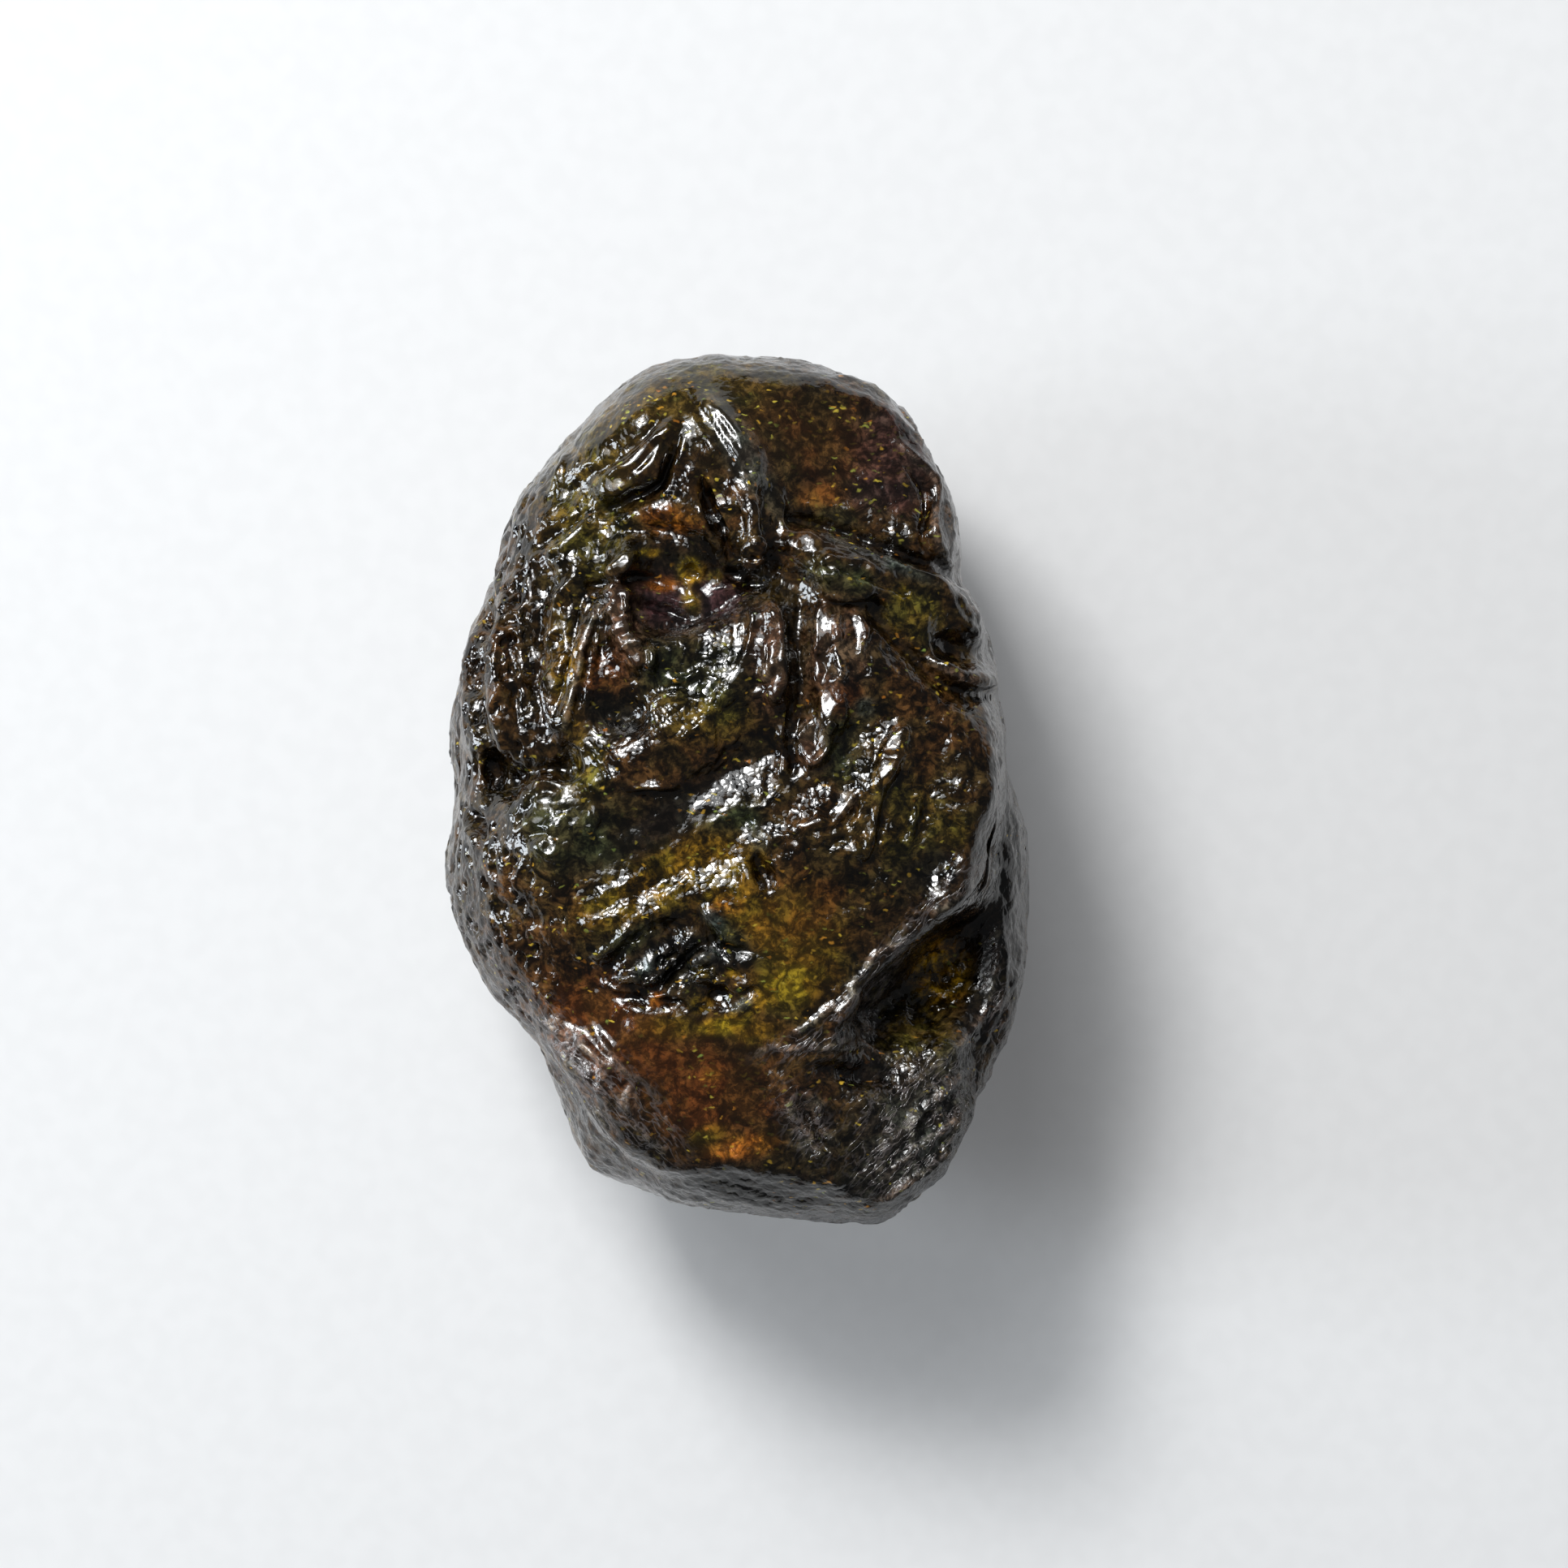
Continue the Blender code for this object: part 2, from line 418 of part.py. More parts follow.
def drop_ledges(nodule):
    mesh = nodule.data
    places = mesh_points(mesh)
    fall = np.zeros(len(places))
    for ledge in LEDGES.values():
        gap, share, side = nearest_on_line(places[:, :2], smooth_line(ledge.line))
        beyond = gap * side
        fade = np.exp(-(np.maximum(beyond, 0) / ledge.reach) ** 2)
        fall = np.maximum(fall, ledge.drop * share * smooth_step(beyond / ledge.wall) * fade)
    above_rim = np.clip(places[:, 2], 0, None)
    places[:, 2] -= np.minimum(fall, above_rim) * facing(mesh, places, 1)
    set_points(mesh, places)


def press_folds(nodule, folds, up):
    mesh = nodule.data
    places = mesh_points(mesh)
    move = np.zeros(len(places))
    for fold in folds.values():
        gap, share, _ = nearest_on_line(places[:, :2], smooth_line(fold.line))
        move += fold.height * share * np.exp(-(gap / fold.width) ** 2)
    move *= facing(mesh, places, up)
    set_points(mesh, places + mesh_normals(mesh) * move[:, None])


def weather(nodule, name, size, strength):
    """Uneven, natural swelling of the whole skin."""
    texture = bpy.data.textures.new(name, "CLOUDS")
    texture.noise_scale = size
    texture.noise_depth = 3
    swell = nodule.modifiers.new(name, "DISPLACE")
    swell.texture = texture
    swell.texture_coords = "LOCAL"
    swell.strength = strength
    swell.mid_level = 0.5
    apply_modifiers(nodule)


def thin_out(nodule):
    nodule.data.calc_loop_triangles()
    fewer = nodule.modifiers.new("fewer_faces", "DECIMATE")
    fewer.ratio = MOST_TRIANGLES / len(nodule.data.loop_triangles)
    fewer.use_collapse_triangulate = True
    apply_modifiers(nodule)


def wear_rest_spot(nodule):
    """Wears the lowest part of the back to the small flat spot that the nodule rests on."""
    sculpt = bmesh.new()
    sculpt.from_mesh(nodule.data)
    everything = sculpt.verts[:] + sculpt.edges[:] + sculpt.faces[:]
    cut = bmesh.ops.bisect_plane(sculpt, geom=everything, plane_co=Vector((0, 0, REST_CUT - BACK_DROP)),
                                 plane_no=Vector((0, 0, -1)), clear_outer=True)
    rim = [edge for edge in cut["geom_cut"] if isinstance(edge, bmesh.types.BMEdge)]
    bmesh.ops.contextual_create(sculpt, geom=rim)
    bmesh.ops.recalc_face_normals(sculpt, faces=sculpt.faces[:])
    sculpt.to_mesh(nodule.data)
    sculpt.free()


def bring_to_size(nodule):
    """Sets the overall size in metres, with the outline's middle over the origin and the spot at height 0."""
    places = mesh_points(nodule.data)
    low, high = places.min(0), places.max(0)
    scale = np.array([WIDTH, LENGTH, THICKNESS]) / (high - low)
    base = np.array([(low[0] + high[0]) / 2, (low[1] + high[1]) / 2, low[2]])
    set_points(nodule.data, (places - base) * scale * MM)


def amber_material():
    material = bpy.data.materials.new("dark_amber")
    material.use_nodes = True
    shader = material.node_tree.nodes["Principled BSDF"]
    shader.inputs["Base Color"].default_value = (0.075, 0.045, 0.015, 1)
    shader.inputs["Roughness"].default_value = 0.16
    shader.inputs["Metallic"].default_value = 0.0
    shader.inputs["IOR"].default_value = 1.54
    return material


def main():
    clear_scene()
    nodule = pebble(collection_named("blue_amber"))
    remesh(nodule, FORMING_VOXEL, smoothing=2)
    raise_masses(nodule)
    weather(nodule, "broad_swelling", size=5.0, strength=0.9)
    even_grounds(nodule)
    drop_ledges(nodule)
    remesh(nodule, CARVING_VOXEL, smoothing=3)
    press_folds(nodule, FACE_FOLDS, up=1)
    press_folds(nodule, BACK_FOLDS, up=-1)
    weather(nodule, "small_swelling", size=1.9, strength=0.28)
    remesh(nodule, CARVING_VOXEL, smoothing=1)
    thin_out(nodule)
    wear_rest_spot(nodule)
    bring_to_size(nodule)
    nodule.data.materials.append(amber_material())
    nodule.data.shade_smooth()


main()
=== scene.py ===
"""The looks of a rough blue amber nodule, lying on its back on a pale floor with its folded face up.

Tables are millimetres on the nodule seen from above: x to the right, y towards its crown end.
"""

import math
from collections import namedtuple

import bpy
import numpy as np
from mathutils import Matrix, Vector, noise


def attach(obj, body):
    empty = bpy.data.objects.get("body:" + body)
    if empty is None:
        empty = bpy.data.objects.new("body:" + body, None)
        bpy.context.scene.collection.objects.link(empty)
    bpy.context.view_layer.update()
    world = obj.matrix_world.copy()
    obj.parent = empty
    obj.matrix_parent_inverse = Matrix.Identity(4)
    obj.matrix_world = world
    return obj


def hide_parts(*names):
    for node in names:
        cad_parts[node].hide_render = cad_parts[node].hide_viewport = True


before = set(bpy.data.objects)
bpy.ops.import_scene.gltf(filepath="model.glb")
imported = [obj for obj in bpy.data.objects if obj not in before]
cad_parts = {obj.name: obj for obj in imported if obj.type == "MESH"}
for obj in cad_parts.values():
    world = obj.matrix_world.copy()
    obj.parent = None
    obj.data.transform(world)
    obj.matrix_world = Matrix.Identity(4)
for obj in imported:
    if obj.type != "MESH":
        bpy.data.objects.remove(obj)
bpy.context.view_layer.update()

MM = 0.001

# How fine the skin is worked, in millimetres
SKIN_VOXEL = 0.30
SKIN_SMOOTHING = 7
FINE_FACES_LOOK_UP = 0.22

# The rest spot stays flat up to this height, in millimetres
REST_SPOT_HEIGHT = 0.12

# Heights and depths of the fine relief, in millimetres
GRAIN_SWELL = 0.09
GRAIN_BEAD = 0.075
GRAIN_WRINKLE = 0.05
FLAT_FIBRE = 0.022
PIT_DEPTH = 0.28
CREASE_DEPTH = 0.35

# The depth of the finest beads, which are a bump, in metres
BEAD_DEPTH = 0.000024

# Amber, as a solid and at its surface. The density of the absorption is per metre.
AMBER_IOR = 1.54
AMBER_SPECULAR = 0.38
AMBER_TRANSMISSION = 0.3
AMBER_DEPTH_COLOUR = (0.62, 0.26, 0.06, 1)
AMBER_DEPTH_DENSITY = 900.0

# Linear colours of the mottling, the flecks and the painted pale sheen on the horny fibres
WARM_TINT = (1.12, 0.94, 0.78, 1)
GREEN_TINT = (0.95, 1.02, 0.86, 1)
FLECK_ORANGE = (0.48, 0.16, 0.02, 1)
FLECK_GOLD = (0.65, 0.46, 0.05, 1)
FLECK_GREEN = (0.22, 0.30, 0.06, 1)
FIBRE_SHEEN_COLOUR = (0.17, 0.145, 0.14, 1)

# The camera looks straight down from far off. Lengths in millimetres.
PICTURE_WIDTH = 69.0
PICTURE_MIDDLE = (2.09, 0.14)
CAMERA_DISTANCE = 450.0
CAMERA_AIMS_AT_HEIGHT = 9.0
SENSOR_WIDTH = 36.0

Fold = namedtuple("Fold", "height width line")
Ring = namedtuple("Ring", "height width middle half_sizes turn")
Zone = namedtuple("Zone", "middle half_sizes turn amount")
Tilt = namedtuple("Tilt", "middle half_sizes turn amount lean")
ColourMark = namedtuple("ColourMark", "paint middle half_sizes turn amount")

# Fine ridges, and grooves where the height is below zero. Each point of a line is x, y and its
# share of the height.
CROWN_FOLDS = {
    "crest_streak": Fold(0.22, 0.30, [
        (-1.6, 16.4, 0.4), (-1.1, 15.6, 1.0), (-0.7, 14.6, 1.0), (-0.1, 14.0, 0.6),
    ]),
    "crest_side_streak": Fold(0.16, 0.25, [(-1.1, 16.3, 0.5), (-0.5, 15.6, 1.0), (0.1, 15.1, 0.5)]),
    "crest_engraving": Fold(-0.28, 0.20, [
        (-2.0, 17.0, 0.3), (-1.4, 16.0, 1.0), (-0.9, 15.0, 1.0), (-0.3, 14.1, 0.9), (0.1, 13.6, 0.4),
    ]),
    "apex_sliver": Fold(-0.60, 0.28, [
        (-2.5, 15.3, 0.4), (-2.85, 14.2, 1.0), (-3.1, 13.3, 1.0), (-3.8, 12.7, 0.8), (-4.7, 12.3, 0.6),
        (-5.7, 11.9, 0.4),
    ]),
    "apex_left_lip": Fold(0.28, 0.20, [
        (-2.8, 15.3, 0.5), (-3.2, 14.1, 1.0), (-3.5, 13.3, 1.0), (-4.2, 12.9, 0.4),
    ]),
    "apex_right_lip": Fold(0.28, 0.20, [
        (-2.3, 15.1, 0.5), (-2.4, 14.2, 1.0), (-2.7, 13.5, 1.0), (-3.0, 12.8, 0.6),
    ]),
    "left_facet_edge": Fold(0.32, 0.40, [
        (-5.7, 12.8, 0.6), (-5.2, 13.3, 1.0), (-4.4, 13.9, 0.8), (-3.4, 14.8, 1.0), (-2.8, 15.4, 0.6),
    ]),
    "left_facet_crease": Fold(-0.25, 0.22, [
        (-6.3, 13.5, 0.4), (-5.1, 14.1, 1.0), (-4.0, 15.0, 0.8), (-3.2, 15.9, 0.3),
    ]),
    "leaf_pit_floor": Fold(-0.60, 0.27, [
        (-1.5, 13.5, 0.3), (-1.3, 12.7, 1.0), (-0.95, 11.8, 1.0), (-0.55, 11.1, 0.5),
    ]),
    "leaf_pit_left_rim": Fold(0.30, 0.17, [
        (-1.65, 13.6, 0.5), (-1.75, 12.5, 1.0), (-1.3, 11.4, 1.0), (-0.95, 10.8, 0.8), (-0.65, 9.9, 0.7),
        (-0.4, 9.4, 0.3),
    ]),
    "leaf_pit_right_rim": Fold(0.26, 0.16, [
        (-1.2, 13.5, 0.5), (-0.85, 12.7, 1.0), (-0.5, 11.8, 1.0), (-0.3, 11.1, 0.6),
    ]),
    "leaf_pit_tail": Fold(-0.35, 0.18, [(-0.6, 11.2, 0.6), (-0.45, 10.5, 1.0), (-0.2, 9.8, 0.8)]),
    "drip_body": Fold(0.40, 0.38, [(0.5, 12.8, 0.3), (0.75, 11.4, 1.0), (0.8, 10.4, 1.0), (0.8, 9.9, 0.7)]),
    "drip_left_groove": Fold(-0.40, 0.22, [
        (0.0, 12.4, 0.3), (0.15, 11.2, 1.0), (0.2, 10.2, 1.0), (0.5, 9.5, 0.6),
    ]),
    "drip_right_groove": Fold(-0.45, 0.22, [
        (1.2, 12.6, 0.4), (1.3, 11.0, 1.0), (1.35, 10.1, 1.0), (1.0, 9.5, 0.6),
    ]),
    "drip_foot_lip": Fold(0.30, 0.17, [
        (0.4, 10.6, 0.5), (0.5, 10.0, 1.0), (0.8, 9.75, 1.0), (1.1, 9.95, 1.0), (1.2, 10.6, 0.5),
    ]),
    "drip_right_ridge": Fold(0.30, 0.25, [(1.9, 12.6, 0.3), (1.9, 11.6, 1.0), (2.0, 10.8, 0.6)]),
    "shoulder_groove": Fold(-0.35, 0.30, [
        (1.9, 11.7, 0.4), (3.2, 11.4, 1.0), (4.6, 11.0, 1.0), (6.0, 10.5, 1.0), (7.4, 9.95, 1.0),
        (8.8, 9.5, 0.8), (9.7, 9.1, 0.5),
    ]),
    "shoulder_band": Fold(0.40, 0.40, [
        (2.3, 10.8, 0.4), (3.3, 10.7, 1.0), (4.6, 10.35, 1.0), (5.7, 9.9, 1.0), (6.9, 9.4, 0.8),
        (8.1, 9.0, 0.8), (9.6, 8.4, 0.5),
    ]),
    "shoulder_facet": Fold(0.30, 0.45, [(2.5, 10.5, 0.6), (3.2, 10.3, 1.0), (3.6, 10.0, 0.6)]),
    "shoulder_lower_groove": Fold(-0.38, 0.22, [
        (3.3, 9.7, 0.4), (4.6, 9.35, 0.9), (5.9, 8.95, 1.0), (7.3, 8.4, 0.7),
    ]),
    "edge_thin_ridge": Fold(0.24, 0.16, [
        (4.5, 17.9, 0.5), (6.0, 17.4, 1.0), (7.4, 16.2, 1.0), (8.1, 15.0, 0.6),
    ]),
    "edge_long_ridge": Fold(0.24, 0.16, [
        (7.0, 15.0, 0.5), (7.7, 14.3, 1.0), (8.6, 13.4, 1.0), (8.7, 12.3, 0.8), (8.6, 11.2, 1.0),
        (8.9, 10.3, 0.9), (9.5, 9.3, 0.9), (10.0, 8.5, 0.5),
    ]),
    "edge_long_groove": Fold(-0.30, 0.18, [
        (7.4, 14.0, 0.4), (8.1, 13.1, 1.0), (8.25, 12.0, 1.0), (8.1, 10.9, 1.0), (8.4, 10.1, 0.8),
    ]),
    "edge_outer_ridge": Fold(0.20, 0.15, [(9.2, 12.2, 0.5), (9.3, 11.1, 1.0), (9.5, 10.3, 0.6)]),
}

# Folds of the dark basin under the crown
BASIN_FOLDS = {
    "lid_groove": Fold(-0.25, 0.30, [
        (-5.3, 11.0, 0.4), (-3.9, 11.15, 1.0), (-2.6, 10.95, 1.0), (-1.5, 10.5, 0.9), (-0.7, 9.9, 0.6),
    ]),
    "lid": Fold(0.12, 0.40, [(-5.0, 10.3, 0.4), (-3.8, 10.5, 0.9), (-2.4, 10.3, 1.0), (-1.3, 9.9, 0.6)]),
    "rim_left": Fold(0.40, 0.38, [
        (-4.8, 9.7, 0.4), (-5.2, 8.7, 1.0), (-5.1, 7.5, 1.0), (-4.75, 6.5, 1.0), (-4.2, 5.8, 1.0),
        (-3.6, 5.1, 0.4),
    ]),
    "rim_cut_high": Fold(-0.30, 0.14, [(-5.8, 7.9, 0.6), (-5.1, 8.0, 1.0), (-4.4, 8.05, 0.5)]),
    "rim_cut_middle": Fold(-0.30, 0.13, [(-5.6, 7.0, 0.6), (-4.9, 7.15, 1.0), (-4.2, 7.3, 0.5)]),
    "rim_cut_low": Fold(-0.30, 0.13, [(-5.2, 6.1, 0.6), (-4.6, 6.35, 1.0), (-4.0, 6.6, 0.5)]),
    "rim_slit": Fold(-0.30, 0.11, [(-3.85, 5.9, 0.7), (-3.85, 5.5, 1.0), (-3.9, 5.1, 0.8)]),
    "side_crack": Fold(-0.45, 0.18, [
        (-6.3, 8.7, 0.5), (-5.2, 8.9, 1.0), (-4.2, 9.05, 1.0), (-3.4, 8.9, 0.4),
    ]),
    "side_flake": Fold(0.30, 0.25, [(-5.4, 9.2, 0.6), (-4.9, 9.6, 1.0), (-4.4, 10.1, 0.6)]),
    "floor_ridge": Fold(0.26, 0.25, [
        (-4.3, 8.3, 0.4), (-3.3, 8.25, 1.0), (-2.3, 7.9, 0.9), (-1.2, 8.1, 0.5),
    ]),
    "floor_groove": Fold(-0.26, 0.20, [(-4.3, 7.9, 0.5), (-3.2, 7.7, 1.0), (-2.2, 7.4, 0.8)]),
    "ring_stem": Fold(0.20, 0.13, [(-1.9, 8.8, 1.0), (-2.0, 8.4, 1.0), (-1.7, 8.0, 0.5)]),
    "lower_groove": Fold(-0.22, 0.28, [
        (-4.5, 6.9, 0.5), (-3.2, 7.0, 1.0), (-1.9, 7.2, 1.0), (-0.6, 7.9, 1.0), (0.5, 8.7, 0.6),
    ]),
    "right_corner": Fold(-0.50, 0.35, [(-0.6, 9.4, 0.5), (0.2, 9.0, 1.0), (1.1, 8.8, 0.8)]),
    "corner_bar": Fold(0.25, 0.18, [(-0.9, 8.5, 0.5), (-0.1, 8.7, 1.0), (0.7, 9.3, 0.5)]),
}

# Folds around the long furrow, and of the right side down to the wrinkles
MIDDLE_FOLDS = {
    "furrow": Fold(0.18, 0.24, [
        (2.6, 8.6, 0.1), (2.35, 7.4, 1.0), (2.25, 6.6, 0.2), (2.4, 5.7, 1.0), (2.5, 4.9, 0.1),
        (2.45, 4.0, 0.9),
        (2.55, 3.0, 0.2), (2.4, 1.8, 0.9), (2.1, 0.6, 0.3),
    ]),
    "furrow_left_ridge_high": Fold(0.35, 0.28, [(1.5, 7.7, 0.6), (1.75, 6.9, 1.0), (1.65, 6.1, 0.8)]),
    "furrow_left_ridge": Fold(0.45, 0.32, [
        (1.5, 6.4, 0.6), (1.75, 5.4, 1.0), (1.85, 4.4, 1.0), (1.9, 3.4, 0.4),
    ]),
    "furrow_left_beads": Fold(0.28, 0.22, [
        (1.9, 3.4, 0.8), (1.95, 2.4, 1.0), (2.0, 1.2, 0.8), (2.0, 0.4, 0.3),
    ]),
    "left_vein": Fold(0.34, 0.22, [
        (0.8, 7.5, 0.6), (0.75, 6.4, 1.0), (0.35, 5.4, 1.0), (-0.2, 4.5, 0.8), (-0.7, 3.4, 0.5),
    ]),
    "long_pit": Fold(-0.40, 0.24, [(1.2, 7.0, 0.6), (1.15, 6.0, 1.0), (0.95, 5.2, 0.8), (0.9, 4.5, 0.4)]),
    "mound_left_edge": Fold(0.38, 0.24, [(3.7, 7.7, 0.7), (3.75, 6.7, 1.0), (3.6, 5.7, 0.8)]),
    "mound_groove": Fold(-0.30, 0.16, [(4.05, 7.5, 0.6), (4.0, 6.6, 1.0), (3.95, 5.9, 0.6)]),
    "mound_right_edge": Fold(0.28, 0.20, [(4.35, 7.3, 0.7), (4.35, 6.4, 1.0)]),
    "mound_bar": Fold(0.30, 0.26, [(4.6, 5.2, 0.6), (4.5, 4.7, 1.0), (4.0, 4.3, 0.6)]),
    "mound_far_ridge": Fold(0.34, 0.22, [(5.2, 7.4, 0.7), (5.5, 6.7, 1.0), (5.35, 5.8, 0.8)]),
    "fork_left": Fold(0.34, 0.19, [(3.1, 2.6, 0.7), (3.05, 1.9, 1.0), (3.2, 1.2, 0.8)]),
    "fork_right": Fold(0.34, 0.19, [(3.9, 2.5, 0.7), (3.8, 1.8, 1.0), (3.4, 1.1, 0.9)]),
    "fork_floor": Fold(-0.28, 0.14, [(3.5, 2.6, 0.6), (3.45, 1.9, 1.0), (3.3, 1.3, 0.6)]),
    "fork_bar": Fold(0.24, 0.15, [(3.0, 2.15, 0.8), (3.5, 2.2, 1.0), (4.0, 2.5, 0.8)]),
    "knob_notch": Fold(-0.20, 0.18, [(3.5, 7.95, 0.5), (4.6, 7.9, 1.0), (5.7, 7.95, 0.8), (6.3, 7.7, 0.4)]),
    "knob_notch_lip": Fold(0.26, 0.14, [(4.0, 8.2, 0.6), (4.9, 8.15, 1.0), (5.8, 8.3, 0.6)]),
    "slanting_crease": Fold(-0.35, 0.28, [
        (6.0, 7.5, 0.5), (6.9, 6.4, 0.9), (7.9, 5.5, 1.0), (8.8, 4.6, 0.9), (9.9, 4.05, 0.8),
        (11.2, 4.0, 0.5),
    ]),
    "right_pit": Fold(-0.30, 0.40, [(8.8, 6.4, 0.8), (9.3, 6.1, 1.0), (9.8, 5.9, 0.6)]),
    "right_pit_glint": Fold(0.12, 0.15, [(8.6, 6.5, 0.5), (9.0, 6.85, 1.0), (9.5, 6.95, 0.6)]),
    "right_pit_upper_ridge": Fold(0.22, 0.18, [
        (8.0, 9.05, 0.4), (8.8, 8.5, 1.0), (9.3, 7.9, 1.0), (9.8, 7.2, 1.0), (10.3, 6.8, 1.0),
        (10.45, 6.2, 0.5),
    ]),
    "right_pit_ledge": Fold(0.45, 0.26, [
        (8.5, 5.4, 0.6), (9.3, 4.95, 1.0), (9.9, 4.65, 1.0), (11.1, 4.55, 0.7),
    ]),
    "right_bulge_streak": Fold(0.42, 0.26, [
        (7.2, 2.4, 0.6), (6.75, 1.7, 1.0), (6.5, 0.9, 1.0), (6.3, 0.2, 0.6),
    ]),
    "right_bulge_groove": Fold(-0.12, 0.20, [(6.5, 2.4, 0.5), (6.1, 1.5, 1.0), (5.9, 0.6, 0.8)]),
    "near_wrinkle_ridge": Fold(0.36, 0.22, [
        (5.0, -0.4, 0.6), (4.7, -1.0, 1.0), (4.2, -1.5, 1.0), (3.5, -1.5, 0.9), (2.8, -1.7, 0.5),
    ]),
    "near_wrinkle_groove": Fold(-0.20, 0.18, [(5.3, -0.6, 0.5), (4.9, -1.4, 1.0), (4.4, -2.3, 0.8)]),
    "low_wrinkle_ridge": Fold(0.32, 0.22, [
        (5.0, -1.5, 0.5), (4.4, -2.0, 1.0), (3.6, -2.1, 0.8), (3.1, -1.9, 0.4),
    ]),
    "middle_wrinkle_ridge": Fold(0.36, 0.20, [
        (6.2, -0.3, 0.6), (5.9, -1.2, 1.0), (5.8, -2.1, 1.0), (5.6, -2.9, 0.6),
    ]),
    "middle_wrinkle_groove": Fold(-0.08, 0.18, [(6.6, -0.2, 0.5), (6.3, -1.4, 1.0), (6.1, -2.8, 0.7)]),
    "far_wrinkle_ridge": Fold(0.30, 0.20, [(7.9, -0.3, 0.6), (7.8, -1.2, 1.0), (7.4, -2.4, 0.7)]),
    "far_wrinkle_groove": Fold(-0.06, 0.18, [(8.2, -0.4, 0.5), (8.1, -1.5, 1.0), (7.7, -2.7, 0.6)]),
    "low_beads": Fold(0.26, 0.20, [(4.3, -2.7, 0.6), (5.0, -2.75, 1.0), (5.5, -2.9, 0.5)]),
    "furrow_foot_beads": Fold(0.28, 0.22, [(2.3, -2.1, 0.7), (2.7, -2.5, 1.0), (2.5, -3.1, 0.6)]),
    "left_bulge_upper_line": Fold(0.26, 0.15, [
        (-5.3, 0.5, 0.6), (-4.6, 0.0, 1.0), (-3.6, 0.05, 1.0), (-2.6, 0.1, 0.5),
    ]),
    "left_bulge_under_line": Fold(-0.26, 0.18, [(-5.0, -0.25, 0.4), (-3.9, -0.3, 1.0), (-2.6, -0.3, 0.6)]),
    "dark_hollow": Fold(-0.55, 0.75, [(-5.4, 3.5, 0.8), (-4.6, 3.1, 1.0), (-4.2, 2.7, 0.6)]),
    "dark_hollow_left": Fold(-0.60, 0.50, [(-7.2, 1.5, 0.7), (-7.4, 0.9, 1.0)]),
    "glitter_wrinkle_high": Fold(0.24, 0.18, [(-3.4, 5.0, 0.5), (-2.5, 4.6, 1.0), (-1.6, 4.9, 0.6)]),
    "glitter_wrinkle_low": Fold(0.24, 0.18, [(-3.6, 3.6, 0.5), (-2.8, 3.9, 1.0), (-1.4, 3.7, 0.6)]),
    "centre_beads": Fold(0.24, 0.20, [
        (-2.3, 2.1, 0.7), (-1.8, 2.5, 1.0), (-1.2, 2.7, 0.8), (-0.9, 1.1, 0.3),
    ]),
}

